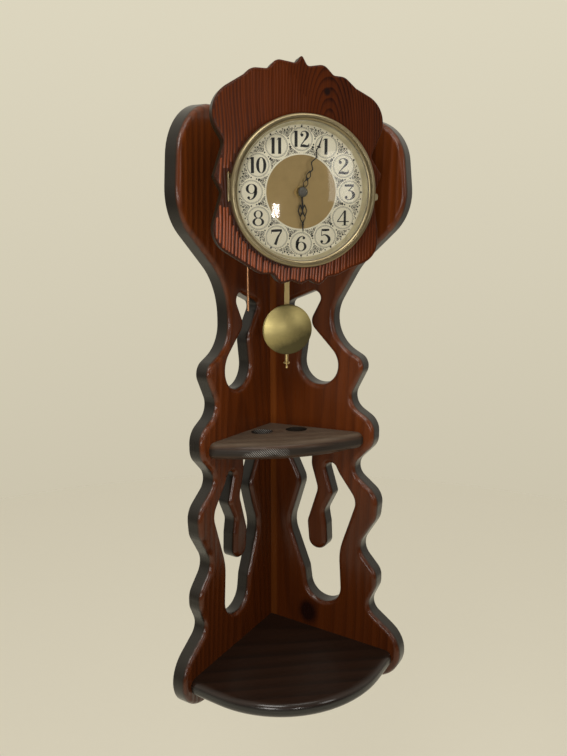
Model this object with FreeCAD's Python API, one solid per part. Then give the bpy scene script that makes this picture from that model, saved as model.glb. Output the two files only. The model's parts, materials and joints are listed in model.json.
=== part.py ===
import FreeCAD, Part
import math
import os

os.makedirs("parts", exist_ok=True)

# Corner wall clock, in millimetres. The room corner is the Z axis and the dial faces -Y.
# Heights are counted from the panels' lower edge; z = 0 is the height of the hanging screws.
# "Out" is the distance in front of the room corner, so y = -out.

V = FreeCAD.Vector
Q = math.sqrt(0.5)

# Back panels: two mirrored boards at 45 degrees, mitred along the room corner
PANEL_T = 19.0
PANEL_H = 730.0
PANEL_ROUND = 6.0
HANG_H = 690.0
HANG_REACH = 60.0
HANG_HOLE_R = 2.5

# Outer edge from the top down: (reach from the corner, height, radius); a minus radius is a hollow.
# The hand-sawn ears differ from left to right, the scrolls below are the same.
LEFT_EAR = [
    (190.4, 668.5, 60.5),
    (193.0, 638.0, 60.0),
    (105.4, 495.0, -84.0),
    (105.4, 489.0, -40.0),
]
RIGHT_EAR = [
    (192.7, 666.3, 50.8),
    (195.9, 636.7, 58.9),
    (120.4, 503.9, -83.2),
    (107.7, 491.8, -45.4),
]
PANEL_EDGE = [
    (148.4, 434.0, 15.0),
    (134.2, 397.0, -20.0),
    (164.8, 355.0, 22.0),
    (164.8, 348.0, 22.0),
    (140.8, 307.0, -17.0),
    (172.2, 263.0, 24.0),
    (171.2, 251.0, 24.0),
    (151.0, 204.0, -22.0),
    (174.0, 163.0, 20.0),
    (174.0, 157.0, 20.0),
    (164.7, 128.0, -18.0),
    (209.0, 67.0, 40.0),
]

# Cut-outs, clockwise: (distance from the corner, height, radius) of each arc's centre;
# a minus radius is wood bulging into the opening
TEARDROP = [
    (81.0, 514.0, 8.0),
    (91.0, 486.0, -14.0),
    (88.0, 433.0, 26.0),
    (45.7, 462.0, -20.0),
    (52.0, 502.0, 8.0),
]
LYRE = [
    (107.5, 299.0, 7.5),
    (144.5, 311.5, -31.0),
    (121.2, 258.5, 20.0),
    (192.5, 180.0, -72.0),
    (98.0, 137.0, 25.0),
    (43.5, 144.0, -28.0),
    (88.5, 214.0, 40.0),
    (43.5, 273.0, -20.0),
    (58.0, 315.0, 12.0),
    (67.0, 316.0, 12.0),
    (106.5, 304.0, -28.0),
    (69.3, 269.0, 18.0),
    (87.5, 220.0, -14.0),
    (89.0, 198.5, -13.5),
    (87.5, 220.0, -14.0),
    (110.5, 238.0, 12.0),
    (100.7, 266.0, -9.0),
]

# Shelves
SHELF_T = 19.0
SHELF_ROUND = 8.0
UPPER_SHELF_H = 346.5
UPPER_SHELF_TILT = 5.0
UPPER_SHELF_OUT = 148.0
UPPER_SHELF_R = 170.0
UPPER_END_X = 83.0
UPPER_END_R = 13.0
UPPER_END_FLAT = 27.0
CUP_X = 22.0
CUP_OUT = 76.0
CUP_R = 13.5
CUP_DEPTH = 9.0
LOWER_SHELF_H = 71.0
LOWER_SHELF_OUT = 226.0
LOWER_SHELF_R = 140.2
LOWER_END_X = 112.0
LOWER_END_R = 16.0
LOWER_END_FLAT = 33.0

# Face board and the cleats that carry it
BOARD_OUT = 157.0
BOARD_T = 19.0
BOARD_ROUND = 2.5
BOARD_TIP = (766.0, 1.8)
BOARD_FOOT = (548.5, 6.0)
# Hand-sawn halves of the outline from the top: distance from the middle, height and radius of each arc
BOARD_LEFT = [
    (7.5, 765.6, -4.0),
    (22.5, 754.9, 9.0),
    (36.5, 760.3, -5.0),
    (46.0, 741.7, 14.0),
    (61.0, 753.5, -5.0),
    (61.0, 713.0, 30.0),
    (88.2, 684.4, -8.0),
    (84.4, 652.5, 5.5),
    (89.7, 635.5, -7.0),
    (64.0, 600.0, 28.0),
    (40.0, 565.5, 12.0),
    (33.0, 548.0, -5.5),
    (19.5, 550.5, 7.0),
    (9.5, 541.8, -4.0),
]
BOARD_RIGHT = [
    (8.5, 762.9, -4.0),
    (20.0, 750.4, 10.0),
    (36.0, 755.7, -5.0),
    (40.5, 738.3, 12.0),
    (60.5, 743.5, -5.0),
    (58.3, 706.2, 29.3),
    (84.4, 673.0, -8.0),
    (82.0, 654.0, 5.0),
    (86.0, 632.0, -7.0),
    (60.0, 597.0, 24.8),
    (61.0, 585.5, 24.0),
    (57.0, 552.0, -6.0),
    (36.0, 562.0, 12.0),
    (32.0, 545.5, -4.0),
    (19.5, 548.5, 7.0),
    (9.5, 541.8, -4.0),
]
CLEAT_X = 50.0
CLEAT_W = 20.0
CLEAT_LOW_H = 590.0
CLEAT_TOP_H = 715.0

# Fixings
SCREW_R = 2.0
SCREW_HEAD_R = 4.0
SCREW_L = 36.0
SCREW_FIT = 0.05
SHELF_SCREW_REACH = [49.0, 109.0]
LOWER_SCREW_REACH = [59.0, 149.0]
CLEAT_SCREW_X = 66.0
CLEAT_SCREW_H = [605.0, 700.0]
DOWEL_R = 3.0
DOWEL_L = 16.0
DOWEL_HEIGHTS = [40.0, 190.0, 390.0, 560.0, 700.0]
BOARD_DOWEL_R = 4.0
BOARD_DOWEL_X = 60.0
BOARD_DOWEL_H = [612.0, 690.0]
BOARD_DOWEL_IN_CLEAT = 14.0
BOARD_DOWEL_IN_BOARD = 6.0

# Dial, in a round recess of the face board
DIAL_H = 637.0
RECESS_R = 71.3
RECESS_DEPTH = 1.5
DIAL_R = 70.7
DIAL_T = 0.8
CENTRE_R = 37.0
CHAPTER_T = 0.5

# Hinged bezel with a domed glass and a sight cone; "lift" is the distance in front of the board
RING_IN_R = 71.6
RING_OUT_R = 75.2
RING_T = 1.0
RING_SCREW_R = 0.9
RING_SCREW_HEAD_R = 1.5
RING_SCREW_L = 8.0
RING_SCREWS = 4
BEZEL_R = 75.9
BEZEL_LIFT = 15.1
BEZEL_SHOULDER = 1.9
BEZEL_CREST_R = 71.8
BEZEL_SIGHT_R = 69.2
BEZEL_GAP = 0.4
BEZEL_CROWN = 0.9
BEZEL_COVE_SAG = 0.6
BEZEL_LIP_T = 0.7
BEZEL_SEAT_W = 2.0
BEZEL_SEAT_LIFT = 11.5
BEZEL_WALL = 1.0
BEZEL_WEB = 1.6
GLASS_T = 1.5
GLASS_RISE = 7.6
GLASS_FIT = 0.2
KEEPER_T = 1.0
CONE_T = 0.8
CONE_TOP_R = 68.6
CONE_LOW_R = 66.2
CONE_CLEAR = 0.5
HINGE_ABOVE = 5.0
HINGE_OUT_R = 0.1
HINGE_LIFT = 1.9
KNUCKLE_R = 1.6
KNUCKLE_L = 5.0
LEAF_L = 15.6
LEAF_T = 2.2
KNUCKLE_GAP = 0.3
PIN_R = 0.7
RUN_FIT = 0.04
HINGE_CLEAR = 0.4
TAB_BELOW = 5.0
TAB_UP = 9.4
TAB_L = 3.0
TAB_W = 6.8
TAB_T = 1.8

# Battery movement behind the board
CASE_W = 86.0
CASE_ABOVE = 40.0
CASE_BELOW = 56.0
CASE_FRONT_D = 16.0
CASE_BACK_D = 19.0
CASE_WALL = 1.8
POST_R = 4.0
CASE_SCREW_R = 1.3
CASE_SCREW_HEAD_R = 2.4
CASE_SCREW_L = 26.0
BUSH_R = 4.0
BUSH_FLANGE_R = 7.0
BUSH_FLANGE_T = 1.5
BUSH_PROUD = 2.8
BUSH_NUT_FLATS = 12.0
BUSH_NUT_T = 2.0
ARBOR_R = 1.5
TUBE_R = 2.5

# Motion work: minute pinion, motion wheel with its pinion, hour wheel, setting pinion
GEAR_PRESSURE = 25.0
GEAR_ADDENDUM = 0.8
GEAR_DEDENDUM = 1.05
GEAR_BACKLASH = 0.09
MINUTE_MODULE = 0.5
HOUR_MODULE = 0.4
PINION_TEETH = 16
MOTION_TEETH = 48
HOUR_TEETH = 64
SETTER_DIRECTION = -60.0
HOUR_WHEEL_IN = 4.0
HOUR_WHEEL_T = 1.6
MOTION_WHEEL_IN = 7.2
MOTION_WHEEL_T = 1.6
STUD_R = 1.0
BRIDGE_IN = 12.0
BRIDGE_T = 1.6
BRIDGE_W = 14.0
BRIDGE_LEFT = 19.0
BRIDGE_RIGHT = 34.0
BRIDGE_LEG_R = 3.0
KNOB_R = 6.0
KNOB_T = 5.0
KNOB_CLEAR = 1.0
MOTOR_SIZE = (22.0, 24.0, 10.0)
MOTOR_AT = (-38.0, 6.0)
BOARD_PC = (64.0, 26.0, 1.6)
BOARD_PC_AT = (-32.0, -50.0)
BATTERY_R = 7.25
BATTERY_L = 50.5
BATTERY_BELOW = 44.0
CONTACT_T = 0.5
CONTACT_W = 10.0
BAY_WALL = 2.0
COIL_R = 8.0
COIL_HOLE_R = 3.0
COIL_T = 6.0
COIL_ABOVE = 4.0

# Hands: distance out of their faces follows from the dial
HOUR_HAND_L = 40.0
HOUR_SPEAR_L = 9.5
MINUTE_HAND_L = 58.0
MINUTE_SPEAR_L = 12.0
HAND_T = 0.5
HAND_GAP = 1.3
HAND_STEP = 1.6
HAND_HUB_R = 4.2
MINUTE_ANGLE = 20.5
HOUR_ANGLE = 178.5
HAND_NUT_R = 5.0
HAND_NUT_T = 2.4
HAND_THREAD_R = 1.2

# Pendulum
PENDULUM_GAP = 8.0
PIVOT_ABOVE = 24.0
PIVOT_PIN_R = 1.0
PIVOT_HEAD_R = 2.0
PIVOT_BOSS_R = 3.0
HANGER_T = 2.5
HANGER_W = 9.0
HANGER_EYE_R = 6.0
HANGER_L = 42.0
HOOK_R = 1.2
HOOK_UP = 6.0
MAGNET_R = 4.0
MAGNET_T = 3.0
STRIP_W = 6.0
STRIP_T = 1.0
BOB_H = 484.5
BOB_R = 29.0
BOB_RIM = 1.6
BOB_DOME = 5.0
CLIP_W = 12.0
CLIP_T = 4.2
CLIP_L = 30.0
SLIDE_FIT = 0.1
RATING_R = 1.1
RATING_TIP_H = 438.0
RATING_TIP_R = 1.5
SLEEVE_R = 2.0
RATING_NUT_H = 445.0
RATING_NUT_R = 3.7
RATING_NUT_T = 3.0
RATING_GAP = 0.05

# Strike on one rod
ROD_R = 1.2
ROD_X = -45.0
ROD_LOW_H = 507.0
ROD_IN_BLOCK = 16.0
BLOCK_T = 8.5
BLOCK_W = 15.0
BLOCK_L = 22.0
BLOCK_ABOVE = 1.0
BLOCK_SCREW_R = 1.5
BLOCK_SCREW_HEAD_R = 2.6
BLOCK_SCREW_L = 20.0
BLOCK_SCREW_SPREAD = 8.8
HAMMER_ABOVE = 27.0
HAMMER_DROP = 40.5
HAMMER_HEAD_R = 3.5
HAMMER_HEAD_L = 7.2
HAMMER_GAP = 1.5
HAMMER_EYE_R = 3.0
HAMMER_T = 3.0
HAMMER_ARM_R = 0.8
HAMMER_PIN_R = 1.0
HAMMER_PIN_HEAD_R = 1.8
HAMMER_BOSS_R = 2.5
END_PLAY = 0.4


def up(h):
    return h - HANG_H


ZD = up(DIAL_H)
INNER_OUT = PANEL_T / Q
BOARD_FACE = BOARD_OUT + BOARD_T
FLOOR_OUT = BOARD_FACE - RECESS_DEPTH
DIAL_FACE = FLOOR_OUT + DIAL_T
CASE_BACK_OUT = BOARD_OUT - CASE_FRONT_D - CASE_BACK_D
PENDULUM_OUT = CASE_BACK_OUT - PENDULUM_GAP
nodes = {}


def chain(circles, place):
    """Closed wire round circles (u, v, r) joined by tangent lines; r > 0 turns clockwise."""
    count = len(circles)
    heads = []
    for i in range(count):
        u0, v0, r0 = circles[i]
        u1, v1, r1 = circles[(i + 1) % count]
        du = u1 - u0
        dv = v1 - v0
        k = r1 - r0
        along = math.sqrt(du * du + dv * dv - k * k)
        heads.append(math.atan2(dv, du) + math.atan2(k, along))
    edges = []

    def on(i, heading):
        u, v, r = circles[i % count]
        return (u - r * math.sin(heading), v + r * math.cos(heading))

    for i in range(count):
        u, v, r = circles[i]
        before = heads[i - 1]
        after = heads[i]
        start = on(i, before)
        end = on(i, after)
        turn = (after - before + math.pi) % (2 * math.pi) - math.pi
        if r * turn > 1e-9:
            turn -= math.copysign(2 * math.pi, turn)
        if abs(r * turn) > 1e-5:
            mid = on(i, before + turn / 2)
            edges.append(Part.Arc(place(*start), place(*mid), place(*end)).toShape())
        nxt = on(i + 1, after)
        if math.hypot(nxt[0] - end[0], nxt[1] - end[1]) > 1e-5:
            edges.append(Part.LineSegment(place(*end), place(*nxt)).toShape())
    return Part.Wire(edges)


def plate(circles, place, depth):
    return Part.Face(chain(circles, place)).extrude(depth)


def box(x0, x1, y0, y1, z0, z1):
    return Part.makeBox(x1 - x0, y1 - y0, z1 - z0, V(x0, y0, z0))


def rod(r, start, end):
    a = V(*start)
    b = V(*end)
    return Part.makeCylinder(r, (b - a).Length, a, b - a)


def spun(points, at, axis):
    """Turned piece: (radius, distance along the axis); a three-item entry is the mid point of an arc."""
    edges = []
    place = FreeCAD.Placement(V(*at), FreeCAD.Rotation(V(0, 0, 1), V(*axis)))
    flat = [p for p in points if len(p) == 2]
    last = None
    mid = None
    for p in points + [flat[0]]:
        if len(p) == 3:
            mid = V(p[0], 0, p[1])
            continue
        here = V(p[0], 0, p[1])
        if last is not None and (here - last).Length > 1e-7:
            if mid is not None:
                edges.append(Part.Arc(last, mid, here).toShape())
            else:
                edges.append(Part.LineSegment(last, here).toShape())
        last = here
        mid = None
    solid = Part.Face(Part.Wire(edges)).revolve(V(0, 0, 0), V(0, 0, 1), 360)
    solid.Placement = place
    return solid


def dome(r, rise, start):
    """Mid point of the arc of a spherical cap that rises from radius r at the start height."""
    ball = (r * r + rise * rise) / (2 * rise)
    half = math.asin(r / ball) / 2
    return (ball * math.sin(half), start + rise - ball * (1 - math.cos(half)), 0)


def screw(r, head_r, length, at, axis, grow=0.0):
    """Countersunk screw with its head flush at the start point."""
    head = head_r - r
    tip = 2 * r
    a = r + grow
    points = [
        (0, 0),
        (head_r + grow, 0),
        (a, head),
        (a, length - tip),
        (0.3 * r + grow, length + grow),
        (0, length + grow),
    ]
    return spun(points, at, axis)


def on_wall(side, s, t, h):
    return (side * (s - t) * Q, -(s + t) * Q, up(h))


def mirrored(shape):
    return shape.mirror(V(0, 0, 0), V(1, 0, 0))


def group(shapes):
    return Part.makeCompound(shapes)


def one(shape):
    """The single solid of a boolean result."""
    clean = shape.removeSplitter()
    return clean.Solids[0] if len(clean.Solids) == 1 else clean


# Screws through the panels: (side, distance from the corner, height)
panel_screw_at = []
for side in (-1, 1):
    for s in SHELF_SCREW_REACH:
        rise = ((s + PANEL_T) * Q - INNER_OUT) * math.tan(math.radians(UPPER_SHELF_TILT))
        panel_screw_at.append((side, s, UPPER_SHELF_H - SHELF_T / 2 + rise))
    for s in LOWER_SCREW_REACH:
        panel_screw_at.append((side, s, LOWER_SHELF_H - SHELF_T / 2))
    for h in CLEAT_SCREW_H:
        panel_screw_at.append((side, CLEAT_SCREW_X / Q + PANEL_T, h))


def panel_screws(grow):
    return [
        screw(SCREW_R, SCREW_HEAD_R, SCREW_L, on_wall(side, s, 0, h), (-side, -1, 0), grow)
        for side, s, h in panel_screw_at
    ]


panel_screw_holes = panel_screws(SCREW_FIT)
nodes["panel_screws"] = group(panel_screws(0.0))
dowels = [
    rod(DOWEL_R, (-DOWEL_L / 2, -INNER_OUT / 2, up(h)), (DOWEL_L / 2, -INNER_OUT / 2, up(h)))
    for h in DOWEL_HEIGHTS
]
nodes["corner_dowels"] = group(dowels)


# Back panels
def back_panel(ear):
    def flat(s, h):
        return V(s, 0, up(h))

    depth = V(0, -PANEL_T, 0)
    outline = [(0, 0, 0), (0, PANEL_H, 0)]
    for reach, h, r in ear + PANEL_EDGE:
        outline.append((reach - r, h, r))
    solid = plate(outline, flat, depth)
    solid = solid.cut([plate(TEARDROP, flat, depth), plate(LYRE, flat, depth)])
    rim = []
    for edge in solid.Edges:
        b = edge.BoundBox
        if b.YMax < 1e-6 - PANEL_T and b.XMax > 1e-6:
            rim.append(edge)
    solid = solid.makeFillet(PANEL_ROUND, rim)
    solid.rotate(V(0, 0, 0), V(0, 0, 1), -45)
    mitre = box(-PANEL_H, 0, -PANEL_H, PANEL_T, up(0) - 1, up(PANEL_H) + 1)
    hang = rod(HANG_HOLE_R, on_wall(1, HANG_REACH, -1, HANG_H), on_wall(1, HANG_REACH, PANEL_T + 1, HANG_H))
    return solid.cut([mitre, hang])


nodes["right_panel"] = one(back_panel(RIGHT_EAR).cut(panel_screw_holes + dowels))
nodes["left_panel"] = one(mirrored(back_panel(LEFT_EAR)).cut(panel_screw_holes + dowels))


# Shelves, rounded all along the front and cut to the corner; the upper one leans back
def wedge(low, high, reach):
    points = [V(0, -INNER_OUT, low), V(reach, -INNER_OUT - reach, low), V(-reach, -INNER_OUT - reach, low)]
    return Part.Face(Part.makePolygon(points + points[:1])).extrude(V(0, 0, high - low))


def shelf(top, out, r, end_x, end_r, end_flat, tilt, cuts):
    low = up(top - SHELF_T)
    end_out = out - r + math.sqrt((r - end_r) ** 2 + end_flat ** 2 - end_x ** 2)

    def flat(x, y):
        return V(x, y, low)

    outline = [
        (0, 0, 0),
        (end_x, -end_out, end_r),
        (0, r - out, r),
        (-end_x, -end_out, end_r),
    ]
    solid = plate(outline, flat, V(0, 0, SHELF_T))
    rim = [e for e in solid.Edges if e.BoundBox.ZLength < 1e-6]
    solid = solid.makeFillet(SHELF_ROUND, rim)
    if cuts:
        solid = solid.cut(cuts)
    solid.rotate(V(0, -INNER_OUT, up(top)), V(1, 0, 0), -tilt)
    return solid.common(wedge(low - out, up(top) + out, 2 * out)).cut(panel_screw_holes)


cups = [
    rod(CUP_R, (x, -CUP_OUT, up(UPPER_SHELF_H) - CUP_DEPTH), (x, -CUP_OUT, up(UPPER_SHELF_H) + 1))
    for x in (-CUP_X, CUP_X)
]
upper = shelf(
    UPPER_SHELF_H, UPPER_SHELF_OUT, UPPER_SHELF_R,
    UPPER_END_X, UPPER_END_R, UPPER_END_FLAT, UPPER_SHELF_TILT, cups,
)
nodes["upper_shelf"] = one(upper)
lower = shelf(
    LOWER_SHELF_H, LOWER_SHELF_OUT, LOWER_SHELF_R, LOWER_END_X, LOWER_END_R, LOWER_END_FLAT, 0.0, []
)
nodes["lower_shelf"] = one(lower)

# Face board, its cleats and their dowels
board_dowels = []
for x in (-BOARD_DOWEL_X, BOARD_DOWEL_X):
    for h in BOARD_DOWEL_H:
        start = (x, BOARD_DOWEL_IN_CLEAT - BOARD_OUT, up(h))
        end = (x, -BOARD_DOWEL_IN_BOARD - BOARD_OUT, up(h))
        board_dowels.append(rod(BOARD_DOWEL_R, start, end))
nodes["board_dowels"] = group(board_dowels)


def face_board():
    def flat(x, h):
        return V(x, -BOARD_OUT, up(h))

    outline = [(0, BOARD_TIP[0], BOARD_TIP[1])]
    outline += BOARD_RIGHT
    outline.append((0, BOARD_FOOT[0], BOARD_FOOT[1]))
    outline += [(-x, h, r) for x, h, r in reversed(BOARD_LEFT)]
    solid = plate(outline, flat, V(0, -BOARD_T, 0))
    rim = [e for e in solid.Edges if e.BoundBox.YMax < 1e-6 - BOARD_FACE]
    solid = solid.makeFillet(BOARD_ROUND, rim)
    recess = rod(RECESS_R, (0, -FLOOR_OUT, ZD), (0, -BOARD_FACE - 1, ZD))
    bush_hole = rod(BUSH_R + SCREW_FIT, (0, 1 - BOARD_OUT, ZD), (0, -BOARD_FACE, ZD))
    return solid.cut([recess, bush_hole] + board_dowels)


board = face_board()


def cleat(side):
    inner = CLEAT_X
    outer = CLEAT_X + CLEAT_W
    low = up(CLEAT_LOW_H)
    corners = [
        V(side * inner, -BOARD_OUT, low),
        V(side * outer, -BOARD_OUT, low),
        V(side * outer, -outer - INNER_OUT, low),
        V(side * inner, -inner - INNER_OUT, low),
    ]
    face = Part.Face(Part.makePolygon(corners + corners[:1]))
    return face.extrude(V(0, 0, CLEAT_TOP_H - CLEAT_LOW_H)).cut(panel_screw_holes + board_dowels)


nodes["right_cleat"] = one(cleat(1))
left_cleat = cleat(-1)

# Dial
dial_hole = rod(BUSH_R + SCREW_FIT, (0, 0, ZD), (0, -2 * BOARD_FACE, ZD))
nodes["dial_plate"] = rod(DIAL_R, (0, -FLOOR_OUT, ZD), (0, -DIAL_FACE, ZD)).cut(dial_hole)
chapter = rod(DIAL_R, (0, -DIAL_FACE, ZD), (0, -DIAL_FACE - CHAPTER_T, ZD))
chapter_bore = rod(CENTRE_R, (0, -DIAL_FACE + 1, ZD), (0, -DIAL_FACE - CHAPTER_T - 1, ZD))
nodes["chapter_ring"] = chapter.cut(chapter_bore)

# Hinge: the fixed ring has two knuckles, the bezel leaf one between them
DIAL_AXIS = (0, -BOARD_FACE, ZD)
FRONT = (0, -1, 0)
hinge_x = -BEZEL_R - HINGE_OUT_R
hinge_y = -BOARD_FACE - HINGE_LIFT
hinge_z = ZD + HINGE_ABOVE
knuckle_start = LEAF_L / 2 + KNUCKLE_GAP
hinge_end = knuckle_start + KNUCKLE_L


def upright(r, low, high):
    return rod(r, (hinge_x, hinge_y, hinge_z + low), (hinge_x, hinge_y, hinge_z + high))


notch_top = HINGE_LIFT + KNUCKLE_R + HINGE_CLEAR


def back_ring():
    points = [(RING_IN_R, 0), (RING_OUT_R, 0), (RING_OUT_R, RING_T), (RING_IN_R, RING_T)]
    ring = spun(points, DIAL_AXIS, FRONT)
    for low in (-hinge_end, knuckle_start):
        ring = ring.fuse(upright(KNUCKLE_R, low, low + KNUCKLE_L))
        start = hinge_z + low
        tail = box(hinge_x, -RING_IN_R - 2, -BOARD_FACE - RING_T, -BOARD_FACE, start, start + KNUCKLE_L)
        ring = ring.fuse(tail)
    room = upright(KNUCKLE_R + HINGE_CLEAR, -knuckle_start, knuckle_start)
    return ring.cut([room, upright(PIN_R, -hinge_end - 1, hinge_end + 1)])


ring_screw_at = []
for i in range(RING_SCREWS):
    a = 2 * math.pi * (i + 0.5) / RING_SCREWS
    mid = (RING_IN_R + RING_OUT_R) / 2
    ring_screw_at.append((mid * math.cos(a), -BOARD_FACE - RING_T, ZD + mid * math.sin(a)))


def ring_screws(grow):
    return [screw(RING_SCREW_R, RING_SCREW_HEAD_R, RING_SCREW_L, at, (0, 1, 0), grow) for at in ring_screw_at]


ring_holes = ring_screws(SCREW_FIT)
nodes["ring_screws"] = group(ring_screws(0.0))
nodes["back_ring"] = one(back_ring().cut(ring_holes))
nodes["face_board"] = one(board.cut(ring_holes))
nodes["hinge_pin"] = upright(PIN_R, -hinge_end - 1.2, hinge_end + 1.2)


# Bezel: a turned channel with a crowned front, a cove and a thin lip over the glass, notched for the hinge
bezel_low = RING_T + BEZEL_GAP
seat_r = BEZEL_SIGHT_R + BEZEL_SEAT_W
keeper_lift = BEZEL_SEAT_LIFT - GLASS_T


def bowed(start, end, sag):
    """Mid point of an arc that bows to the left of the way from start to end."""
    dr = end[0] - start[0]
    dz = end[1] - start[1]
    size = math.hypot(dr, dz)
    return ((start[0] + end[0]) / 2 - sag * dz / size, (start[1] + end[1]) / 2 + sag * dr / size, 0)


def bezel_ring():
    wall_in = BEZEL_R - BEZEL_WALL
    hollow = BEZEL_LIFT - BEZEL_WEB
    shoulder = (BEZEL_R, BEZEL_LIFT - BEZEL_SHOULDER)
    crest = (BEZEL_CREST_R, BEZEL_LIFT)
    lip = (BEZEL_SIGHT_R, BEZEL_SEAT_LIFT + BEZEL_LIP_T)
    points = [
        (wall_in, bezel_low),
        (BEZEL_R, bezel_low),
        shoulder,
        bowed(shoulder, crest, -BEZEL_CROWN),
        crest,
        bowed(crest, lip, BEZEL_COVE_SAG),
        lip,
        (BEZEL_SIGHT_R, BEZEL_SEAT_LIFT),
        (seat_r, BEZEL_SEAT_LIFT),
        (seat_r, keeper_lift - KEEPER_T),
        (seat_r + BEZEL_WALL, keeper_lift - KEEPER_T),
        (seat_r + BEZEL_WALL, hollow),
        (wall_in, hollow),
    ]
    ring = spun(points, DIAL_AXIS, FRONT)
    reach = hinge_end + 2
    inside = hinge_x + KNUCKLE_R + 1.0
    notch = box(2 * hinge_x, inside, -BOARD_FACE - notch_top, -BOARD_FACE, hinge_z - reach, hinge_z + reach)
    return ring.cut(notch)


nodes["bezel_ring"] = one(bezel_ring())
leaf = upright(KNUCKLE_R, -LEAF_L / 2, LEAF_L / 2)
leaf_plate = box(
    hinge_x - LEAF_T / 2 + 0.3, hinge_x + LEAF_T / 2 + 0.3,
    -BOARD_FACE - notch_top, hinge_y,
    hinge_z - LEAF_L / 2, hinge_z + LEAF_L / 2,
)
nodes["bezel_hinge_leaf"] = one(leaf.fuse(leaf_plate).cut(upright(PIN_R + RUN_FIT, -LEAF_L, LEAF_L)))


def dial_glass():
    edge = seat_r - GLASS_FIT
    start = BEZEL_SIGHT_R - GLASS_FIT
    low = BEZEL_SEAT_LIFT - GLASS_T

    points = [
        (0, BEZEL_SEAT_LIFT + GLASS_RISE),
        dome(start, GLASS_RISE, BEZEL_SEAT_LIFT),
        (start, BEZEL_SEAT_LIFT),
        (edge, BEZEL_SEAT_LIFT),
        (edge, low),
        (start, low),
        dome(start, GLASS_RISE, low),
        (0, low + GLASS_RISE),
    ]
    return spun(points, DIAL_AXIS, FRONT)


nodes["dial_glass"] = dial_glass()
keeper_r = seat_r - SCREW_FIT
cone_low = DIAL_FACE + CHAPTER_T + CONE_CLEAR - BOARD_FACE
keeper = [
    (CONE_TOP_R, keeper_lift),
    (CONE_LOW_R, cone_low),
    (CONE_LOW_R + CONE_T, cone_low),
    (CONE_TOP_R + CONE_T, keeper_lift - KEEPER_T),
    (keeper_r, keeper_lift - KEEPER_T),
    (keeper_r, keeper_lift),
]
nodes["glass_keeper"] = spun(keeper, DIAL_AXIS, FRONT)
tab_low = bezel_low + TAB_UP
tab = box(
    BEZEL_R - 1, BEZEL_R + TAB_L,
    -BOARD_FACE - tab_low - TAB_T, -BOARD_FACE - tab_low,
    ZD - TAB_BELOW - TAB_W / 2, ZD - TAB_BELOW + TAB_W / 2,
)
tab_ends = [e for e in tab.Edges if e.BoundBox.YLength > TAB_T / 2 and e.BoundBox.XMin > BEZEL_R]
tab = tab.makeFillet(TAB_W / 3, tab_ends)
nodes["bezel_tab"] = one(tab.cut(rod(BEZEL_R, (0, -BOARD_FACE, ZD), (0, -BOARD_FACE - 20, ZD))))


# Movement case; "deep" counts from the board's back face towards the wall
def deep(d):
    return d - BOARD_OUT


def case_half(start, end, closed_at_start):
    x = CASE_W / 2
    shell = box(-x, x, deep(start), deep(end), ZD - CASE_BELOW, ZD + CASE_ABOVE)
    w = CASE_WALL
    first = start + w if closed_at_start else start - 1
    last = end + 1 if closed_at_start else end - w
    shell = shell.cut(box(w - x, x - w, deep(first), deep(last), ZD - CASE_BELOW + w, ZD + CASE_ABOVE - w))
    for px, pz in case_posts:
        shell = shell.fuse(rod(POST_R, (px, deep(start), pz), (px, deep(end), pz)))
    return shell


case_posts = [
    (px, pz)
    for px in (POST_R + 0.5 - CASE_W / 2, CASE_W / 2 - POST_R - 0.5)
    for pz in (ZD - CASE_BELOW + POST_R + 0.5, ZD + CASE_ABOVE - POST_R - 0.5)
]
case_d = CASE_FRONT_D + CASE_BACK_D


def case_screws(grow):
    return [
        screw(CASE_SCREW_R, CASE_SCREW_HEAD_R, CASE_SCREW_L, (px, deep(case_d), pz), (0, -1, 0), grow)
        for px, pz in case_posts
    ]


case_holes = case_screws(SCREW_FIT)
nodes["case_screws"] = group(case_screws(0.0))

# Motion work centres in the dial plane: (x, z) from the dial centre
centre_gap = MINUTE_MODULE * (PINION_TEETH + MOTION_TEETH) / 2
motion_at = (centre_gap, 0.0)
turn = math.radians(SETTER_DIRECTION)
setter_gap = MINUTE_MODULE * (PINION_TEETH + MOTION_TEETH) / 2
setter_at = (motion_at[0] + setter_gap * math.cos(turn), motion_at[1] + setter_gap * math.sin(turn))
bush_hole = rod(BUSH_R + SCREW_FIT, (0, deep(-1), ZD), (0, deep(CASE_FRONT_D), ZD))
stud = rod(STUD_R, (motion_at[0], deep(0.4), ZD), (motion_at[0], deep(BRIDGE_IN), ZD))
nodes["motion_stud"] = stud
front_case = case_half(0, CASE_FRONT_D, True)
nodes["case_front"] = one(front_case.cut([bush_hole, stud] + case_holes))

bay_x = BATTERY_L / 2 + CONTACT_T
bay_z = ZD - BATTERY_BELOW
battery_deep = case_d - CASE_WALL - BATTERY_R
pivot_z = ZD + PIVOT_ABOVE
hammer_z = ZD + HAMMER_ABOVE
hammer_x = ROD_X + ROD_R + HAMMER_GAP + HAMMER_HEAD_L / 2
hanger_front = PENDULUM_OUT + STRIP_T / 2 + HANGER_T
hammer_front = PENDULUM_OUT + HAMMER_T / 2
pivot_root = CASE_BACK_OUT + 4.0


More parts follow.
